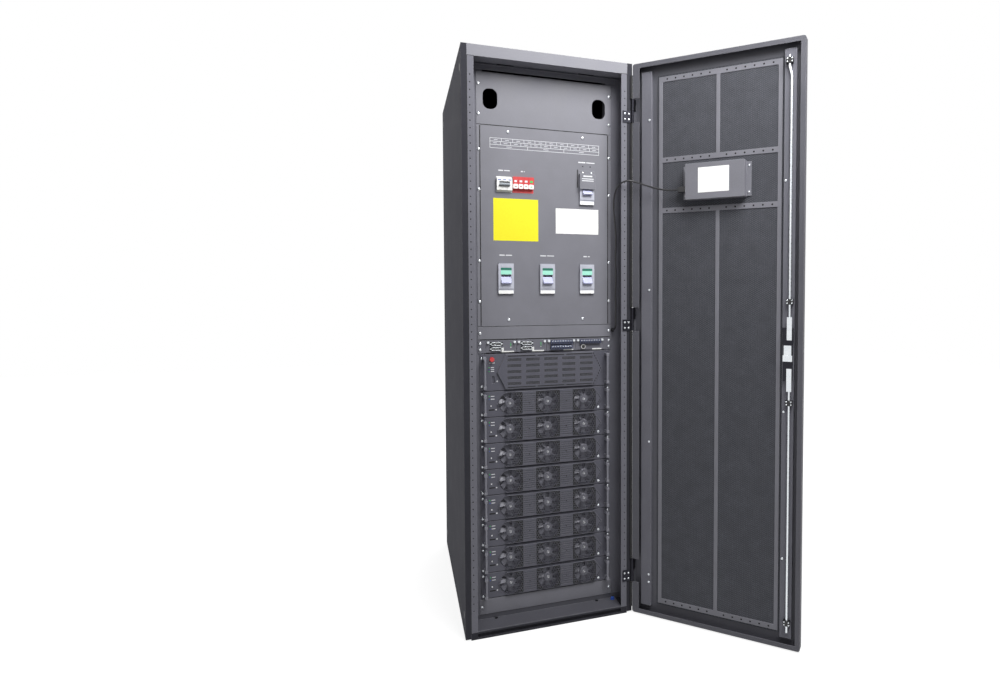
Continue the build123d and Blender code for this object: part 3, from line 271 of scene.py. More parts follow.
# painted highlight for the header lugs: a bright metal finish standing for light catching them in the shaded recess
lugHighlight = platedSteel("lugPaintedHighlight", "#8b8c94", "#787981", 0.34)
leverGrey = mouldedPlastic("leverPolyamide", "#8f959b", "#9ba1a7", 0.42)
mintStrip = mouldedPlastic("mintStripPlastic", "#9fe6cf", "#b4f0dd", 0.4)
pineLabel = mouldedPlastic("pinePolyester", "#1f6a58", "#2a7a66", 0.4)
blueNylon = mouldedPlastic("blueNylon", "#2a4fa6", "#3459b4", 0.4)
terminalNylon = mouldedPlastic("terminalNylon", "#343a55", "#424a68", 0.42)
greenLens = mouldedPlastic("greenLens", "#3fbf63", "#5ad67d", 0.2)
darkRed = mouldedPlastic("darkRedPolycarbonate", "#8d2422", "#a02d2a", 0.4)
greyInk = paperStock("screenPrintWhite", "#d5d6da", "#e6e7ea")
paleInk = paperStock("screenPrintGrey", "#b4b5bc", "#c4c5cb")
whiteGlow = litGlass("litWhiteLine", "#c9d6f6", "#eef2ff", 0.55)
paleGlow = litGlass("litPaleBlock", "#4a58c8", "#6a78dc", 0.45)
# screw finishes: the plated head, and painted shade in the cross recess
screwCoats = [finishes["zinc"], darkHole]
print("finishes made,", len(bpy.data.materials))


# a form is a list of points in mm, its faces, and the finish that each face takes
def newForm():
    return {"points": [], "faces": [], "marks": [], "known": {}}


def addFace(form, corners, mark=0):
    form["faces"].append(corners)
    form["marks"].append(mark)


# number of a point, the same one where the form has that point already
def sharedPoint(form, x, y, z):
    key = (round(x, 3), round(y, 3), round(z, 3))
    if key not in form["known"]:
        form["known"][key] = len(form["points"])
        form["points"].append((x, y, z))
    return form["known"][key]


# unit circle as (cosine, sine) pairs
def unitRing(sides):
    return [(math.cos(2 * math.pi * side / sides), math.sin(2 * math.pi * side / sides)) for side in range(sides)]


# cell of a sheet with a hexagonal hole and its walls, and the walls that would close the cell's own rim
def addHoleCell(form, rim, hole, faces):
    walls = []
    for corner in range(6):
        ahead = (corner + 1) % 6
        bores, rims = [], []
        for y in faces:
            bores.append([sharedPoint(form, x, y, z) for x, z in (hole[corner], hole[ahead])])
            rims.append([sharedPoint(form, x, y, z) for x, z in (rim[corner], rim[ahead])])
            addFace(form, rims[-1] + bores[-1][::-1])
        addFace(form, bores[0] + bores[1][::-1])
        walls.append(rims[0] + rims[1][::-1])
    return walls


# two layers of a grid of points, with walls round the cells that are filled
def addLayers(form, across, up, place, filled=lambda i, j: True, mark=0):
    start = len(form["points"])
    form["points"].extend(place(i, j, layer) for i in range(across + 1) for j in range(up + 1) for layer in (0, 1))

    def number(spot, layer):
        return start + 2 * (spot[0] * (up + 1) + spot[1]) + layer

    cells = dict.fromkeys((i, j) for i in range(across) for j in range(up) if filled(i, j))
    for i, j in cells:
        corners = ((i, j), (i + 1, j), (i + 1, j + 1), (i, j + 1))
        for layer in (0, 1):
            addFace(form, [number(corner, layer) for corner in corners], mark)
        for side, beyond in enumerate(((i, j - 1), (i + 1, j), (i, j + 1), (i - 1, j))):
            if beyond not in cells:
                here, there = corners[side], corners[(side + 1) % 4]
                addFace(form, (number(here, 0), number(there, 0), number(there, 1), number(here, 1)), mark)


# places in a row with equal spacing about its middle
def spaced(middle, count, pitch):
    return [middle + (index - (count - 1) / 2) * pitch for index in range(count)]


# skin over loops of equal length, with a lid at each open end
def addSkin(form, loops, mark=0, lids=True, joined=False):
    start, count = len(form["points"]), len(loops[0])
    for loop in loops:
        form["points"].extend(loop)
    turns = len(loops) if joined else len(loops) - 1
    for turn in range(turns):
        here, there = start + turn * count, start + (turn + 1) % len(loops) * count
        for side in range(count):
            ahead = (side + 1) % count
            addFace(form, (here + side, here + ahead, there + ahead, there + side), mark)
    if lids and not joined:
        for end in (start, start + (len(loops) - 1) * count):
            addFace(form, tuple(range(end, end + count)), mark)


def roundedOutline(width, height, corner, steps):
    outline = []
    for quarter, (sx, sz) in enumerate(((1, 1), (-1, 1), (-1, -1), (1, -1))):
        for step in range(steps + 1):
            angle = math.radians(90 * quarter + 90 * step / steps)
            outline.append((sx * (width / 2 - corner) + corner * math.cos(angle),
                            sz * (height / 2 - corner) + corner * math.sin(angle)))
    return outline


# plate on a face that looks along y, with its front edge eased: size is its width, height, corner and corner steps
def addPlate(form, size, x, z, back, front, ease=0.05, mark=0):
    outline = roundedOutline(*size)
    toward = 1 if front > back else -1
    shrinkX, shrinkZ = 1 - 2 * ease / size[0], 1 - 2 * ease / size[1]
    addSkin(form, [[(x + u, back, z + v) for u, v in outline],
                   [(x + u, front - toward * ease, z + v) for u, v in outline],
                   [(x + u * shrinkX, front, z + v * shrinkZ) for u, v in outline]], mark)


# flat bar about its middle, on a face that looks along y
def addBar(form, x, z, width, height, back, front, mark=0, ease=0.05):
    addPlate(form, (width, height, 0.2 * min(width, height), 2), x, z, back, front, ease, mark)


# turned shape about an axis along y: (radius, height) pairs from its seat outward
def addTurned(form, place, profile, sides, mark=0, toward=-1):
    x, y, z = place
    addSkin(form, [[(x + radius * c, y + toward * height, z + radius * s) for c, s in unitRing(sides)]
                   for radius, height in profile], mark)


# round wire or tube along points, closed on itself for a ring
def addWire(form, path, radius, sides=6, closed=False, mark=0):
    path = [Vector(point) for point in path]
    count = len(path)
    loops, normal = [], None
    for index, point in enumerate(path):
        ahead = path[(index + 1) % count] if closed or index < count - 1 else point
        behind = path[index - 1] if closed or index > 0 else point
        along = (ahead - behind).normalized()
        if normal is None:
            normal = along.orthogonal().normalized()
        normal = (normal - along * normal.dot(along)).normalized()
        across = along.cross(normal)
        loops.append([tuple(point + radius * (normal * c + across * s)) for c, s in unitRing(sides)])
    addSkin(form, loops, mark, joined=closed)


# pan-head screw with a cross recess, as shares of its radius and of its rise
screwHead = dict(
    rise=0.55, sides=16, cross=((0.8, 0.2), (0.2, 0.8)), sunk=0.8, proud=0.06,
    profile=((1, 0), (1, 0.35), (0.93, 0.65), (0.75, 0.88), (0.4, 1))
)


# the head takes one finish and the recess another
def addScrew(form, x, y, z, radius, toward=-1, head=0, recess=1):
    rise = screwHead["rise"] * radius
    addTurned(form, (x, y, z), [(wide * radius, high * rise) for wide, high in screwHead["profile"]],
              screwHead["sides"], head, toward)
    for wide, tall in screwHead["cross"]:
        addPlate(form, (wide * radius, tall * radius, 0.1 * radius, 1), x, z,
                 y + toward * screwHead["sunk"] * rise, y + toward * (rise + screwHead["proud"]), 0.02, recess)


# turns a form into a mesh object that rides on a body
def makePiece(name, form, coats, body="cabinet", turn=None, crease=32):
    mesh = bpy.data.meshes.new(name)
    mesh.from_pydata(form["points"], [], form["faces"])
    for coat in coats:
        mesh.materials.append(coat)
    mesh.polygons.foreach_set("material_index", form["marks"])
    shell = bmesh.new()
    shell.from_mesh(mesh)
    bmesh.ops.recalc_face_normals(shell, faces=shell.faces)
    bmesh.ops.scale(shell, vec=(mm, mm, mm), verts=shell.verts)
    if turn is not None:
        bmesh.ops.transform(shell, matrix=turn, verts=shell.verts)
    shell.to_mesh(mesh)
    shell.free()
    mesh.shade_smooth()
    mesh.set_sharp_from_angle(angle=math.radians(crease))
    piece = bpy.data.objects.new(name, mesh)
    scene.collection.objects.link(piece)
    if body:
        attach(piece, body)
    return piece


# lead from the display's plug on the door to the grommet on the right-hand rail
displayLead = {
    "diameter": 6, "sides": 12,
    "route": ((423.5, -562.5, 1538), (406.1, -545.1, 1538), (379.9, -524.6, 1542), (349.5, -502.6, 1552),
              (319.8, -480, 1566), (293.6, -462.3, 1577), (268, -459, 1580), (248, -436, 1567),
              (240, -411, 1535), (241, -399, 1490), (247, -398, 1432), (251, -400, 1370),
              (248, -398, 1305), (251, -399, 1240), (248.5, -398, 1180), (250.5, -398.5, 1130),
              (249.5, -397.5, 1090), (250, -397, 1060.3), (250, -390.3, 1048.7), (250, -378.7, 1042),
              (250, -364, 1042)),
}
leadCurve = bpy.data.curves.new("leadLine", "CURVE")
leadCurve.dimensions = "3D"
leadCurve.resolution_u = 8
leadSpline = leadCurve.splines.new("NURBS")
leadSpline.points.add(len(displayLead["route"]) - 1)
for point, spot in zip(leadSpline.points, displayLead["route"]):
    point.co = (*[value * mm for value in spot], 1)
leadSpline.order_u = 3
leadSpline.use_endpoint_u = True
leadHolder = bpy.data.objects.new("leadLine", leadCurve)
scene.collection.objects.link(leadHolder)
bpy.context.view_layer.update()
leadLine = bpy.data.meshes.new_from_object(leadHolder.evaluated_get(bpy.context.evaluated_depsgraph_get()))
leadPath = [vertex.co.copy() for vertex in leadLine.vertices]
bpy.data.objects.remove(leadHolder)
bpy.data.meshes.remove(leadLine)
leadForm = newForm()
addWire(leadForm, [point / mm for point in leadPath], displayLead["diameter"] / 2, displayLead["sides"])
leadPiece = makePiece("displayLead", leadForm, [finishes["cable_sheath"]], None)
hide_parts("display_cable")
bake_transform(leadPiece)

# perforated sheet of the door: staggered hexagonal holes, each in its own rectangular cell
sheetForm = newForm()
sheetFaces = (doorSheet["outer"], doorSheet["inner"])
hexagon = [(doorSheet["holeRadius"] * c, doorSheet["holeRadius"] * s) for c, s in unitRing(6)]
for column in range(doorSheet["columns"]):
    west = doorSheet["left"] + column * cellWide
    east, centre = west + cellWide, west + cellWide / 2
    shifted = column % 2
    fillers = ((doorSheet["bottom"], doorSheet["bottom"] + cellTall / 2),
               (doorSheet["top"] - cellTall / 2, doorSheet["top"])) if shifted else ()
    for low, high in fillers:
        for y in sheetFaces:
            addFace(sheetForm, [sharedPoint(sheetForm, x, y, z)
                                for x, z in ((west, low), (east, low), (east, high), (west, high))])
    for row in range(doorSheet["rows"] - shifted):
        low = doorSheet["bottom"] + (row + shifted / 2) * cellTall
        middle, high = low + cellTall / 2, low + cellTall
        rim = ((east, middle), (east, high), (west, high), (west, middle), (west, low), (east, low))
        addHoleCell(sheetForm, rim, [(centre + u, middle + v) for u, v in hexagon], sheetFaces)
doorMesh = makePiece("perforatedSheet", sheetForm, [finishes["mesh_paint"]], "door", openDoor)
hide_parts("door_mesh")
print("perforated sheet", len(doorMesh.data.polygons), "faces")

# dust filter: a needled pad held by the bars, slightly full between them, cut out round the display housing;
# its waves by length across, length up, seed and share
pad = dict(
    left=-230, right=212, bottom=44, top=1948, meshSide=-465.5, barSide=-461.5, cutLeft=-109.5, cutRight=97.5,
    cutBottom=1500.5, cutTop=1623.5, barColumns=(-224, -9, 206), barRows=(50, 1472, 1650, 1942), fullness=1.1,
    ripple=0.35, cell=12, crease=60, waves=((60, 90, 0, 1), (22, 28, 4, 0.5))
)


def steppedLine(keys):
    stops = [pad[key] for key in keys]
    line = stops[:1]
    for low, high in zip(stops, stops[1:]):
        count = max(1, round((high - low) / pad["cell"]))
        line.extend(low + (high - low) * (step + 1) / count for step in range(count))
    return line


# how full the pad is at one place between the bars, from 0 to 1
def bulge(value, stops):
    for low, high in zip(stops, stops[1:]):
        if low <= value <= high:
            return math.sin(math.pi * (value - low) / (high - low)) ** 0.5
    return 0


def padSwell(x, z):
    swell = bulge(x, pad["barColumns"]) * min(1, 1.4 * bulge(z, pad["barRows"]))
    wave = sum(share * noise.noise(Vector((x / wide, z / tall, seed))) for wide, tall, seed, share in pad["waves"])
    return swell * (pad["fullness"] + pad["ripple"] * wave)


filterForm = newForm()
padColumns = steppedLine(("left", "cutLeft", "cutRight", "right"))
padRows = steppedLine(("bottom", "cutBottom", "cutTop", "top"))


def padPoint(i, j, layer):
    x, z = padColumns[i], padRows[j]
    return x, pad["barSide"] + padSwell(x, z) if layer else pad["meshSide"], z


def padCell(i, j):
    return not (pad["cutLeft"] <= padColumns[i] < pad["cutRight"]
                and pad["cutBottom"] <= padRows[j] < pad["cutTop"])


addLayers(filterForm, len(padColumns) - 1, len(padRows) - 1, padPoint, padCell)
filterPad = makePiece("filterPad", filterForm, [finishes["filter_cloth"]], "door", openDoor,
                      pad["crease"])
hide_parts("dust_filter")
print("filter pad", len(filterPad.data.polygons), "faces")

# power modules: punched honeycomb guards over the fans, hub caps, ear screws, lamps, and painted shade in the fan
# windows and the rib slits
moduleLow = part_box("power_modules")[0]
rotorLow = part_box("fan_rotors")[0]
module = dict(
    count=8, first=moduleLow.z / mm, pitch=92, height=89, fans=(-134, 2, 138), fieldFront=moduleLow.y / mm,
    front=-361.5, hubFront=rotorLow.y / mm, earScrew=231.5, earRadius=4.2, earInset=9, lowScrew=(194, 11, 4.4),
    ribColumns=(-66, 70), ribCount=9, ribPitch=7.6, ribSize=(43.4, 2), ribDepth=(1.9, 0.5),
    hubCap=((5.2, 0), (5.2, 0.5), (4.4, 1), (1.5, 1.3)), ribStud=((1.8, 0), (1.8, 0.3), (1.2, 0.5)), studDrop=2,
    lampDrops=((17, 1), (27, 2)), lampColumn=-206, captionColumn=-194,
    lamp=((1.9, 0), (1.9, 0.5), (1.3, 1.1), (0.4, 1.4)), caption=(13, 2.6, 0.6, 2),
    button=((2.6, 0), (2.6, 1.2), (1.8, 1.8)), buttonPlace=(-200, 51), port=(20, 4.4, 1.2, 3), portColumn=-198,
    portDrop=65, stud=((2.6, 0), (2.6, 0.4), (1.9, 0.7)), studColumn=-182
)
fieldShape = dict(left=-178, right=206, tip=30, margin=4)
guard = dict(
    cell=9, web=1.3, halfWide=44, halfTall=38.4, edge=2.5, sheet=0.8, gap=0.25, opening=38.9, turns=60, reach=6,
    furthest=80, lip=0.3, film=0.15
)
moduleHalf = module["height"] / 2 - fieldShape["margin"]


# how far a point of a fan's window lies inside the window's straight edges
def windowRoom(fan, u, v):
    slope = math.hypot(moduleHalf, fieldShape["tip"])
    x = fan + u
    return min(guard["halfWide"] - abs(u), guard["halfTall"] - abs(v),
               (moduleHalf * (x - fieldShape["left"]) - fieldShape["tip"] * abs(v)) / slope - guard["edge"],
               (moduleHalf * (fieldShape["right"] - x) - fieldShape["tip"] * abs(v)) / slope - guard["edge"])


# distance from the fan's axis to the window's edge in one direction
def windowReach(fan, c, s):
    low, high = 0, guard["furthest"]
    for halving in range(24):
        middle = (low + high) / 2
        if windowRoom(fan, middle * c, middle * s) > 0:
            low = middle
        else:
            high = middle
    return max(low, guard["opening"] + guard["lip"])


# one guard about its fan: a sheet of hexagonal cells, each with a hexagonal hole
def guardSheet(fan):
    sheet, edges = newForm(), {}
    outer, inner = guard["cell"] / math.sqrt(3), (guard["cell"] - guard["web"]) / math.sqrt(3)
    rowPitch = guard["cell"] * math.sqrt(3) / 2
    corners = [(s, c) for c, s in unitRing(6)]
    cells = range(-guard["reach"], guard["reach"] + 1)
    for row in cells:
        for column in cells:
            u, v = (column + 0.5 * (row % 2)) * guard["cell"], row * rowPitch
            if windowRoom(fan, u, v) < 0.6 * outer:
                continue
            rim, hole = ([(u + radius * cu, v + radius * cv) for cu, cv in corners] for radius in (outer, inner))
            for wall in addHoleCell(sheet, rim, hole, (-guard["gap"] - guard["sheet"], -guard["gap"])):
                edge = tuple(sorted(wall[:2]))
                edges[edge] = None if edge in edges else wall
    for wall in edges.values():
        if wall:
            addFace(sheet, wall)
    return sheet


def addCopy(form, part, x, y, z):
    start = len(form["points"])
    form["points"].extend((u + x, v + y, w + z) for u, v, w in part["points"])
    form["faces"].extend(tuple(corner + start for corner in face) for face in part["faces"])
    form["marks"].extend(part["marks"])


guardForm, windowForm, moduleScrews, moduleMarks, slitForm = (newForm() for form in range(5))
guardSheets = {fan: guardSheet(fan) for fan in module["fans"]}
field, front = module["fieldFront"], module["front"]
moduleMiddles = []
for index in range(module["count"]):
    bottom = module["first"] + index * module["pitch"]
    middle, top = bottom + module["height"] / 2, bottom + module["height"]
    moduleMiddles.append(middle)
    for fan in module["fans"]:
        addCopy(guardForm, guardSheets[fan], fan, field, middle)
        # dark film from each fan's round opening out to its window's edge: painted shade where the real window opens
        # into the module
        rim = [(c, s, windowReach(fan, c, s)) for c, s in unitRing(guard["turns"])]
        opening = [(c, s, guard["opening"]) for c, s, reach in rim]
        addSkin(windowForm, [[(fan + radius * c, field - rise, middle + radius * s) for c, s, radius in ring]
                             for ring, rise in ((opening, 0), (opening, guard["film"]),
                                                (rim, guard["film"]), (rim, 0))], joined=True)
        addTurned(moduleMarks, (fan, module["hubFront"], middle), module["hubCap"], 16)
    for column in module["ribColumns"]:
        # dark bars sunk in each rib slit: painted shade
        for z in spaced(middle, module["ribCount"], module["ribPitch"]):
            addBar(slitForm, column, z, *module["ribSize"], *[field + deep for deep in module["ribDepth"]], 1)
        addTurned(slitForm, (column, field, middle - module["studDrop"]), module["ribStud"], 10)
    for side in (-1, 1):
        for z in (bottom + module["earInset"], top - module["earInset"]):
            addScrew(moduleScrews, side * module["earScrew"], front, z, module["earRadius"])
    x, rise, radius = module["lowScrew"]
    addScrew(moduleScrews, x, front, bottom + rise, radius)
    for drop, mark in module["lampDrops"]:
        addTurned(moduleMarks, (module["lampColumn"], front, top - drop), module["lamp"], 10, mark)
        addPlate(moduleMarks, module["caption"], module["captionColumn"], top - drop, front, front - 0.25)
    x, drop = module["buttonPlace"]
    addTurned(moduleMarks, (x, front, top - drop), module["button"], 12)
    z = top - module["portDrop"]
    addPlate(moduleMarks, module["port"], module["portColumn"], z, front, front - 0.5, 0.15, 3)
    addTurned(moduleMarks, (module["studColumn"], front, z), module["stud"], 12)
guards = makePiece("fanGuards", guardForm, [guardPaint])
makePiece("fanWindows", windowForm, [darkHole])
makePiece("moduleScrews", moduleScrews, screwCoats)
makePiece("moduleMarks", moduleMarks, [greyInk, greenLens, blueNylon, darkHole])
print("fan guards", len(guards.data.polygons), "faces")

# bypass module: lamps with plain bars beside them, and painted shade in its louvres, its edge slits and the dots at
# its tips
bypassLow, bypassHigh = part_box("bypass_module")
bypass = dict(
    lampDrops=((48, 1), (54.5, 2), (61, 1)), lampColumn=-206, lamp=((1.8, 0), (1.8, 0.5), (1.2, 1.1), (0.4, 1.3)),
    mark=(12, 2, 0.5, 2), markColumn=-194, caption=(20, 2.6, 0.6, 2), captionPlace=(-196, 32), studPlace=(-178, 97),
    stud=((2.6, 0), (2.6, 0.5), (2, 0.9))
)
bypassForm = newForm()
bypassTop = bypassHigh.z / mm
for drop, mark in bypass["lampDrops"]:
    z = bypassTop - drop
    addTurned(bypassForm, (bypass["lampColumn"], front, z), bypass["lamp"], 10, mark)
    addPlate(bypassForm, bypass["mark"], bypass["markColumn"], z, front, front - 0.25)
x, drop = bypass["captionPlace"]
addPlate(bypassForm, bypass["caption"], x, bypassTop - drop, front, front - 0.25)
x, drop = bypass["studPlace"]
addTurned(bypassForm, (x, front, bypassTop - drop), bypass["stud"], 12)
vent = dict(
    middle=14, columns=5, rows=5, pitchX=66, pitchZ=21, slits=3, slitPitch=3.4, size=(50, 2.3), edgeColumns=3,
    edgePitch=106, edgeSize=(99.4, 3.4), edgeInset=5.2, dots=6, dotWidth=3.2, dotShare=0.62, dotInset=4, proud=0.12,
    edgeProud=0.15
)
bypassMiddle = (bypassLow.z + bypassHigh.z) / 2 / mm
bypassField = bypassLow.y / mm
# dark bars laid over the louvre slits and the edge slits: painted shade
for x in spaced(vent["middle"], vent["columns"], vent["pitchX"]):
    for row in spaced(bypassMiddle, vent["rows"], vent["pitchZ"]):
        for z in spaced(row, vent["slits"], vent["slitPitch"]):
            addBar(slitForm, x, z, *vent["size"], bypassField, bypassField - vent["proud"])
bypassHalf = (bypassHigh.z - bypassLow.z) / 2 / mm - fieldShape["margin"]
for x in spaced(vent["middle"], vent["edgeColumns"], vent["edgePitch"]):
    for side in (-1, 1):
        addBar(slitForm, x, bypassMiddle + side * (bypassHalf - vent["edgeInset"]), *vent["edgeSize"],
               bypassField, bypassField - vent["edgeProud"])
# dark dots along the tips of every field: painted shade in small slots
for field, middle, half in [(bypassField, bypassMiddle, bypassHalf)] + [
        (module["fieldFront"], middle, moduleHalf) for middle in moduleMiddles]:
    steps = vent["dots"] + 0.5
    for dot in range(-vent["dots"], vent["dots"] + 1):
        x = fieldShape["right"] - fieldShape["tip"] * abs(dot / steps) - vent["dotInset"]
        addPlate(slitForm, (vent["dotWidth"], vent["dotShare"] * half / steps, 1, 2), x,
                 middle + dot / steps * half, field, field - vent["edgeProud"])
makePiece("ventSlits", slitForm, [darkHole, ribSlitShade])
makePiece("bypassMarks", bypassForm, [greyInk, greenLens, blueNylon])

# equipment screws on the rack rails and panels
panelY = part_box("cable_panel")[0].y / mm
panelScrew = dict(
    radius=5, column=236, bypass=(952, 853), rails=(1897, 1795, 1674, 1537, 1291, 1150, 1040, 72, 1004, 982),
    breaker=((-135, 1740), (135, 1740), (-135, 1086), (135, 1086))
)
screwForm = newForm()
for side in (-1, 1):
    for z in panelScrew["rails"]:
        addScrew(screwForm, side * panelScrew["column"], panelY, z, panelScrew["radius"])
    for z in panelScrew["bypass"]:
        addScrew(screwForm, side * module["earScrew"], front, z, module["earRadius"])
for x, z in panelScrew["breaker"]:
    addScrew(screwForm, x, panelY, z, panelScrew["radius"])
makePiece("panelScrews", screwForm, screwCoats)

# breaker fronts: coloured strips by their drop and height, and the small studs above them
breaker = dict(
    front=-370, shoulder=-368, columns=(-145, 3, 150), row=1230, maintenance=(150, 1552), half=53, label=38,
    strips=((19.25, 8.5, 1), (31.3, 14.6, 0)), foot=(99.8, 52, 11.6), studs=(-15, 15), studRise=45,
    stud=((2.6, 0), (2.6, 0.4), (2, 0.7))
)
faceForm = newForm()
for x, z in [(column, breaker["row"]) for column in breaker["columns"]] + [breaker["maintenance"]]:
    face, shoulder, top = breaker["front"], breaker["shoulder"], z + breaker["half"]
    covered = (x, z) == breaker["maintenance"]
    for drop, tall, mark in () if covered else breaker["strips"]:
        addBar(faceForm, x, top - drop, breaker["label"], tall, face, face - 0.3, mark)
    drop, wide, tall = breaker["foot"]
    addBar(faceForm, x, top - drop, wide, tall, shoulder, shoulder - 0.4, 2)
    for offset in breaker["studs"]:
        addTurned(faceForm, (x + offset, shoulder, z + breaker["studRise"]), breaker["stud"], 14,
                  2 if covered else 3)
makePiece("breakerLabels", faceForm, [mintStrip, pineLabel, finishes["paper"], finishes["breaker_plastic"]])

# plain printed bars on the panel where captions would stand, each in two parts, and a table of plain lines;
# its rows by number of cells and the widest cell
caption = dict(
    places=((-145, 1312, 44), (3, 1312, 50), (150, 1312, 24), (150, 1652, 62), (-149, 1606, 40), (-83, 1606, 14)),
    heights=(4, 3.2), gap=1.6, short=30, shortSplit=0.12, longSplit=-0.04, proud=0.2
)
table = dict(
    left=-197, right=197, bottom=1682, top=1716, line=1.3, dash=0.55, dashHeight=2.6,
    rows=((3, 34), (11, 24), (10, 24))
)
captionForm = newForm()
printY = panelY - caption["proud"]
for x, z, width in caption["places"]:
    split = x + width * caption["shortSplit" if width < caption["short"] else "longSplit"]
    for low, high, tall in ((x - width / 2, split - caption["gap"], caption["heights"][0]),
                            (split + caption["gap"], x + width / 2, caption["heights"][1])):
        addBar(captionForm, (low + high) / 2, z, high - low, tall, panelY, printY)
tableWide = table["right"] - table["left"]
rowTall = (table["top"] - table["bottom"]) / len(table["rows"])
for row in range(len(table["rows"]) + 1):
    addBar(captionForm, table["left"] + tableWide / 2, table["bottom"] + row * rowTall, tableWide,
           table["line"], panelY, printY)
for row, (columns, widest) in enumerate(table["rows"]):
    z, cell = table["bottom"] + (row + 0.5) * rowTall, tableWide / columns
    for column in range(columns + 1):
        addBar(captionForm, table["left"] + column * cell, z, table["line"], rowTall, panelY, printY)
    for column in range(columns):
        addBar(captionForm, table["left"] + (column + 0.5) * cell, z, table["dash"] * min(cell, widest),
               table["dashHeight"], panelY, printY, 1)
makePiece("panelPrint", captionForm, [greyInk, paleInk])

# painted shade in the gaps round the panels, and in the holes and slot beside the lock-out plate
gap = dict(
    column=231.6, width=3.4, bottom=1066, top=1756, sunk=0.4, proud=0.12,
    rows=((1759, 462, 3), (1063, 462, 2), (1017, 472, 3.2)), slot=(116, 1593, 3.8, 66), pilots=(136, 164),
    pilotRise=1638, pilot=((2.4, 0), (2.4, 0.1), (2, 0.15))
)
gapForm = newForm()
gapFront = panelY - gap["proud"]
for side in (-1, 1):
    addBar(gapForm, side * gap["column"], (gap["bottom"] + gap["top"]) / 2, gap["width"],
           gap["top"] - gap["bottom"], panelY + gap["sunk"], gapFront)
for z, width, height in gap["rows"]:
    addBar(gapForm, 0, z, width, height, panelY + gap["sunk"], gapFront)
addBar(gapForm, *gap["slot"], panelY, gapFront)
for x in gap["pilots"]:
    addTurned(gapForm, (x, panelY, gap["pilotRise"]), gap["pilot"], 12)
makePiece("panelGaps", gapForm, [darkHole])

# cabinet front: painted shade in the seams beside the posts and in the holes in the posts, and foam broken at the
# hinges
seam = dict(
    column=281, width=1.8, bottom=22, top=1961, face=-433, proud=0.15, postMiddle=270, postTop=1962,
    postSize=(22, 1.6)
)
postHole = dict(column=272, first=100, pitch=25, count=73, radius=2.4, sunk=0.3, deep=1.8)
seamForm = newForm()
postFace = seam["face"]
seamFront = postFace - seam["proud"]
for side in (-1, 1):
    addBar(seamForm, side * seam["column"], (seam["bottom"] + seam["top"]) / 2, seam["width"],
           seam["top"] - seam["bottom"], postFace, seamFront)
    addBar(seamForm, side * seam["postMiddle"], seam["postTop"], *seam["postSize"], postFace, seamFront)
for side in (-1, 1):
    for index in range(postHole["count"]):
        addTurned(seamForm, (side * postHole["column"], postFace + postHole["deep"],
                             postHole["first"] + index * postHole["pitch"]),
                  ((postHole["radius"], 0), (postHole["radius"], postHole["deep"] - postHole["sunk"])), 10)
makePiece("frontSeams", seamForm, [darkHole])
foam = dict(left=292, right=299.95, depth=5.92, ease=0.2, runs=((24, 118), (204, 1041), (1127, 1789), (1875, 1958)))
foamForm = newForm()
for low, high in foam["runs"]:
    addBar(foamForm, (foam["left"] + foam["right"]) / 2, (low + high) / 2,
           foam["right"] - foam["left"], high - low, postFace, postFace - foam["depth"], 0,
           foam["ease"])
makePiece("hingeFoam", foamForm, [foamRubber])
leaf = dict(heights=(161, 1084, 1832), drops=(11, 31), columns=(272, 287), leaf=-435.5, screw=3.4)
leafForm = newForm()
for height in leaf["heights"]:
    for drop in leaf["drops"]:
        for x in leaf["columns"]:
            addScrew(leafForm, x, leaf["leaf"], height - drop, leaf["screw"])
makePiece("hingeScrews", leafForm, screwCoats)

# surge protector: pale band, window and small mark on each cartridge; surge breaker: pole marks;
# each by rise, width and height
surge = dict(
    front=-373, left=-120, cartridge=18.5, count=4, row=1558, proud=0.3, band=(-6, 16.4, 16), window=(11.5, 10, 7),
    mark=(-6.5, 8, 3), markProud=0.1, breaker=-149, polePitch=18, poles=3, poleMark=(14, 11, 2.4), poleProud=0.25
)
surgeForm = newForm()
face = surge["front"]
bandFace = face - surge["proud"]
for index in range(surge["count"]):
    x, last = surge["left"] + surge["cartridge"] * (index + 0.5), index == surge["count"] - 1
    for key, back, fore, mark in (("band", face, bandFace, 0), ("window", face, bandFace, 2 if last else 4),
                                  ("mark", bandFace, bandFace - surge["markProud"], 2 if last else 1)):
        rise, width, height = surge[key]
        addBar(surgeForm, x, surge["row"] + rise, width, height, back, fore, mark)
rise, width, height = surge["poleMark"]
for x in spaced(surge["breaker"], surge["poles"], surge["polePitch"]):
    addBar(surgeForm, x, surge["row"] + rise, width, height, face, face - surge["poleProud"], 3)
makePiece("surgeMarks", surgeForm, [finishes["paper"], darkRed, greenLens, blueNylon, greyInk])

# sheets on the breaker panel, stuck at their edges and lifting a little between
paper = dict(
    back=-361.02, thickness=0.35, lift=0.9, across=12, up=10, wave=3,
    places=((-108, 1436, 158, 147, 0), (115, 1438, 160, 90, 1))
)
paperForm = newForm()
for x, z, width, height, mark in paper["places"]:
    def paperPoint(i, j, layer):
        u, v = i / paper["across"], j / paper["up"]
        swell = paper["lift"] * (math.sin(math.pi * u) * math.sin(math.pi * v)) ** 0.6
        swell *= 0.5 + 0.5 * noise.noise(Vector((paper["wave"] * u + x, paper["wave"] * v, 1)))
        return (x + width * (u - 0.5), paper["back"] - abs(swell) - layer * paper["thickness"],
                z + height * (v - 0.5))

    addLayers(paperForm, paper["across"], paper["up"], paperPoint, mark=mark)
papers = makePiece("panelSheets", paperForm, [yellowPaper, finishes["paper"]])
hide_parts("paper_sheets")

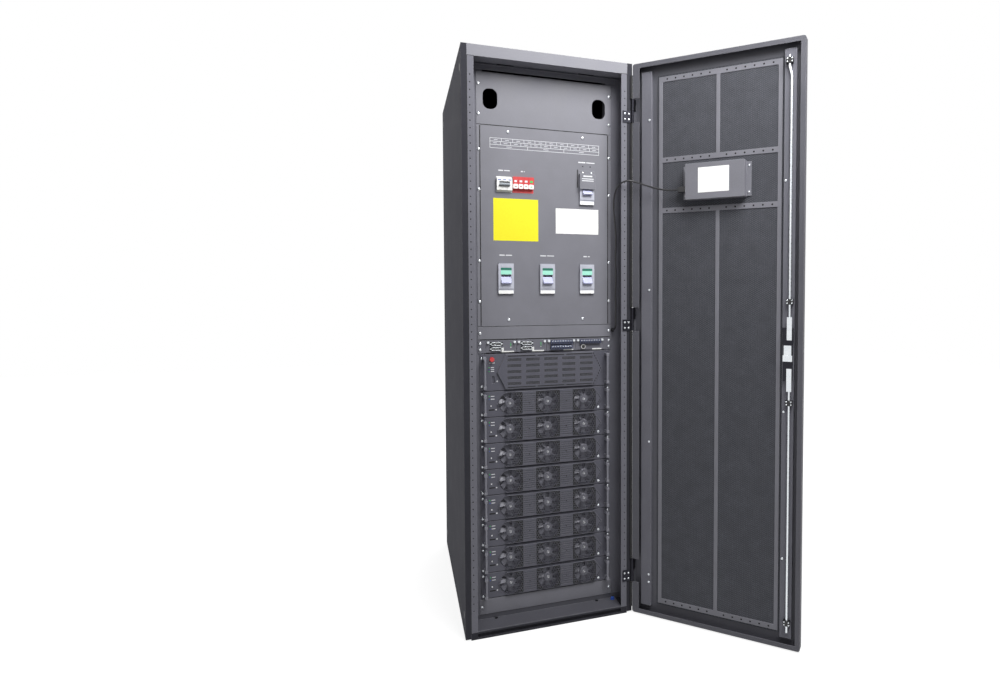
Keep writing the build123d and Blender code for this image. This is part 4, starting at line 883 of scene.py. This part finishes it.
# control cards: D-sub shells with jack screws, terminal rows, a ringed socket and lamps
card = dict(
    dsubCards=(-162.4, -54.1), middle=993, face=-361, dsubFront=-367, dsubShift=-17.8, dsubRise=8.5,
    flange=(46, 13.4, 2, 3), shell=(34.6, 11.6, 3.6, 4), bore=(31.6, 8.6, 2.6, 4), pinRows=((-1.5, 8), (1.5, 7)),
    pinPitch=2.9, pin=((0.7, 0), (0.7, 0.5), (0.4, 0.7)), jackReach=20.4, jack=((2.4, 0), (2.4, 3.4), (2, 3.8)),
    lamps=(-5, 0, 5, 10), lampShift=33, lamp=((1.6, 0), (1.6, 0.5), (1, 1)),
    terminalRows=((54.1, -9.5), (54.1, 9.5), (162.4, 9.5)), terminalFront=-370, block=(80.4, 14.4, 0.8, 2), ways=8,
    wayPitch=9.6, way=(6.4, 5, 0.5, 2), wayDrop=3.2, wayScrew=(3.4, 2.2), socket=(135.7, 983.5, 7.44),
    socketFront=-365, socketWire=1.3
)
cardForm = newForm()
face, dsubFront = card["face"], card["dsubFront"]
for column in card["dsubCards"]:
    for rise in (-card["dsubRise"], card["dsubRise"]):
        x, z = column + card["dsubShift"], card["middle"] + rise
        addPlate(cardForm, card["flange"], x, z, face, face - 0.9, 0.2, 2)
        rims = (("shell", face - 0.5), ("shell", dsubFront - 0.4),
                ("bore", dsubFront - 0.4), ("bore", dsubFront + 0.6))
        addSkin(cardForm, [[(x + u, y, z + v) for u, v in roundedOutline(*card[key])] for key, y in rims], lids=False)
        for shift, pins in card["pinRows"]:
            for pinX in spaced(x, pins, card["pinPitch"]):
                addTurned(cardForm, (pinX, dsubFront + 0.2, z + shift), card["pin"], 6)
        for side in (-1, 1):
            addTurned(cardForm, (x + side * card["jackReach"], face, z), card["jack"], 6)
    for index, rise in enumerate(card["lamps"]):
        addTurned(cardForm, (column + card["lampShift"], face, card["middle"] + rise), card["lamp"], 10,
                  4 if index else 3)
blockFront = card["terminalFront"]
for column, rise in card["terminalRows"]:
    z = card["middle"] + rise
    addPlate(cardForm, card["block"], column, z, blockFront + 3, blockFront - 0.5, 0.3, 1)
    for x in spaced(column, card["ways"], card["wayPitch"]):
        # the wire entry of each way: painted shade
        addPlate(cardForm, card["way"], x, z - card["wayDrop"], blockFront - 0.4, blockFront - 0.62, 0.05, 2)
        screwRise, radius = card["wayScrew"]
        addScrew(cardForm, x, blockFront - 0.45, z + screwRise, radius, -1, 0, 2)
x, z, radius = card["socket"]
addWire(cardForm, [(x + radius * c, card["socketFront"], z + radius * s) for c, s in unitRing(24)],
        card["socketWire"], 6, True, 3)
makePiece("cardFittings", cardForm,
          [finishes["zinc"], terminalNylon, darkHole, finishes["white_plastic"], greenLens])
print("equipment dressed")

# door inside: screws on the stiffeners, guides and display ears by x, seat, z and radius
inside = dict(
    stiffener=-452, barBack=-459.5, earBack=-457.5, boxBack=-427.5, guideBack=-439,
    stiffeners=((240, (1795, 1190, 640, 150, 122)), (-238, (1545, 790, 300))),
    guides=((-256, 90), (-256, 821), (-256, 1152), (-249, 1926)), guideReach=(7.4, 4.6), display=(-6, 1562),
    earReach=(111, 44), radii=(4, 2.4, 3.6)
)
stiffenerScrew, guideScrew, earScrew = inside["radii"]
doorScrews = [(x, inside["stiffener"], z, stiffenerScrew) for x, heights in inside["stiffeners"] for z in heights]
for seat, radius, reach, places in (
        (inside["guideBack"], guideScrew, inside["guideReach"], inside["guides"]),
        (inside["earBack"], earScrew, inside["earReach"], [inside["display"]])):
    doorScrews += [(x + side * reach[0], seat, z + rise * reach[1], radius)
                   for x, z in places for side in (-1, 1) for rise in (-1, 1)]
insideForm = newForm()
for x, seat, z, radius in doorScrews:
    addScrew(insideForm, x, seat, z, radius, 1)
makePiece("doorScrews", insideForm, screwCoats, "door", openDoor)
# painted shade in the holes of the door's bars
barHole = dict(middles=(-116.5, 98.5), pitch=31, count=6, rows=(59, 1472, 1650, 1933), disc=((3.2, 0), (3.2, 0.1)))
holeForm = newForm()
for middle in barHole["middles"]:
    for x in spaced(middle, barHole["count"], barHole["pitch"]):
        for z in barHole["rows"]:
            addTurned(holeForm, (x, inside["barBack"], z), barHole["disc"], 12, 0, 1)
makePiece("barHoles", holeForm, [darkHole], "door", openDoor)
note = dict(place=(-3, 1564.5), size=(108, 85, 1.5, 3), thickness=0.3, ease=0.08)
noteForm = newForm()
addPlate(noteForm, note["size"], *note["place"], inside["boxBack"],
         inside["boxBack"] + note["thickness"], note["ease"])
makePiece("displayNote", noteForm, [finishes["paper"]], "door", openDoor)

# screen picture: a generic power path of blocks and lines, no lettering; tiles by place, size and finish
picture = dict(
    x=-6, z=1566, front=-475, proud=0.12, corner=0.15, ease=0.03,
    tiles=[(0, 38, 152, 7, 1), (0, -38.5, 152, 6, 1)]
    + [(u, 8, *tile) for u in (-48, 0, 48) for tile in ((15, 13, 0), (9, 7, 1))]
    + [(u, 8, 20, 1.2, 0) for u in (-24, 24, -66, 66)]
    + [(-24, -16, 15, 13, 0), (-24, -1.5, 1.2, 16, 0), (40, -18, 50, 10, 1)]
)
pictureForm = newForm()
for u, v, width, height, mark in picture["tiles"]:
    addPlate(pictureForm, (width, height, min(width, height) * picture["corner"], 2), picture["x"] + u,
             picture["z"] + v, picture["front"], picture["front"] - picture["proud"],
             picture["ease"], mark)
makePiece("screenPicture", pictureForm, [whiteGlow, paleGlow], "door", openDoor)

# small cap low in the cabinet, and screws and plain printed bars on the lock-out plate
trayCap = dict(place=(246, -372, 28), sides=18, profile=((8, 0), (8, 2), (6.6, 2.6), (6.2, 7), (5, 8)))
capForm = newForm()
x, y, z = trayCap["place"]
addSkin(capForm, [[(x + radius * c, y + radius * s, z + height) for c, s in unitRing(trayCap["sides"])]
                  for radius, height in trayCap["profile"]])
makePiece("trayCap", capForm, [blueNylon])
lockout = dict(
    seat=-362.5, screws=(136, 168), screwRow=1615, radius=3.4, middle=150,
    bars=((1600.5, 34, 5), (1591, 44, 3), (1584, 44, 3)), faces=(-378.5, -378.7)
)
plateForm = newForm()
for x in lockout["screws"]:
    addScrew(plateForm, x, lockout["seat"], lockout["screwRow"], lockout["radius"])
for z, width, height in lockout["bars"]:
    addBar(plateForm, lockout["middle"], z, width, height, *lockout["faces"], 2)
makePiece("lockoutScrews", plateForm, [*screwCoats, greyInk])
print("door dressed")

# every CAD node takes the finish of its slot, apart from a few that the real cabinet finishes otherwise and a few
# painted lighter or darker as painted highlight and painted shade
ownFinish = {
    **dict.fromkeys(("frame_hinges", "door_hinges", "latch_box", "handle_hub"), oxideSteel),
    **dict.fromkeys(("side_panels", "roof_panel", "rear_panels", "base_frame"), charcoalPaint),
    # the header takes the paler panel paint as a painted highlight: paler than the posts of the same frame paint,
    # where more light falls at the top
    **dict.fromkeys(("display_box", "header"), finishes["panel_paint"]),
    **dict.fromkeys(("handle_bars", "handle_blocks"), barPaint),
    # the floor tray takes the darker door paint as painted shade low in the cabinet
    **dict.fromkeys(("door_frame", "floor_tray"), doorPaint),
    # the header lugs take the painted highlight finish
    "surge_toggle": leverGrey, "control_cards": finishes["cabinet_paint"], "header_lugs": lugHighlight,
}
for subpart in frame["record"]["subparts"]:
    for holder in frame["nodes"][subpart["node"]].material_slots:
        holder.material = ownFinish.get(subpart["node"], finishes[subpart["material_slot"]])

# plain pale floor: white to the eye, with a soft shadow close to the cabinet
studioFloor = dict(size=16, near=0.9, far=2.6, low=0.82, paint="#d4d4d4", shown=0.3)
half = studioFloor["size"] / 2
floorMesh = bpy.data.meshes.new("studioFloor")
floorMesh.from_pydata([(-half, -half, 0), (half, -half, 0), (half, half, 0), (-half, half, 0)], [], [(0, 1, 2, 3)])
floor = bpy.data.objects.new("studioFloor", floorMesh)
scene.collection.objects.link(floor)


# rays that look straight at a surface, or see it in metal or glass
def lookingRays(add):
    path = add("LightPath", {}).outputs
    straight = add("Math", {"operation": "MAXIMUM", 0: path["Is Camera Ray"], 1: path["Is Transmission Ray"]})
    return add("Math", {"operation": "MAXIMUM", 0: straight, 1: path["Is Glossy Ray"]})


floorPaint, add, floorPlace = startFinish("paintedFloor")
away = add("VectorMath", {"operation": "LENGTH", 0: floorPlace})
whiten = add("MapRange", {"Value": away, "From Min": studioFloor["near"], "From Max": studioFloor["far"],
                          "To Min": studioFloor["low"], "interpolation_type": "SMOOTHSTEP"})
glowWhite = add("Emission", {"Strength": whiten})
shadowed = add("BsdfDiffuse", {"Color": (*[studioFloor["shown"]] * 3, 1)})
shown = add("AddShader", {0: glowWhite, 1: shadowed})
painted = add("BsdfDiffuse", {"Color": toLinear(studioFloor["paint"])})
floorMix = add("MixShader", {0: lookingRays(add), 1: painted, 2: shown})
add("OutputMaterial", {"Surface": floorMix})
floorMesh.materials.append(floorPaint)
studioWorld = dict(ambient=0.13, seen=1)
world = bpy.data.worlds.new("studioWorld")
scene.world = world
world.use_nodes = True
world.node_tree.nodes.clear()
add = partial(addNode, world.node_tree)
ambient, white = (add("Background", {"Color": (1, 1, 1, 1), "Strength": studioWorld[key]})
                  for key in ("ambient", "seen"))
add("OutputWorld", {"Surface": add("MixShader", {0: lookingRays(add), 1: ambient, 2: white})})
# soft lamps by name: place, aim, watts and size in metres
studioLights = {
    "keyLight": ((0.5, -1.75, 3), (0.15, -0.4, 1.5), 78, 1.3),
    "fillLight": ((-2.4, -2.2, 2.6), (-0.2, -0.3, 1.2), 7, 2),
    "backLight": ((0.4, 2.6, 3), (0, 0.2, 1), 60, 2),
    "sideLight": ((-3, 0.9, 2.4), (-0.3, 0, 1), 50, 2),
}
for name, (place, aim, power, size) in studioLights.items():
    lamp = bpy.data.lights.new(name, "AREA")
    lamp.energy, lamp.size = power, size
    holder = bpy.data.objects.new(name, lamp)
    holder.location = place
    holder.rotation_euler = (Vector(aim) - Vector(place)).to_track_quat("-Z", "Y").to_euler()
    scene.collection.objects.link(holder)
print("studio lit")
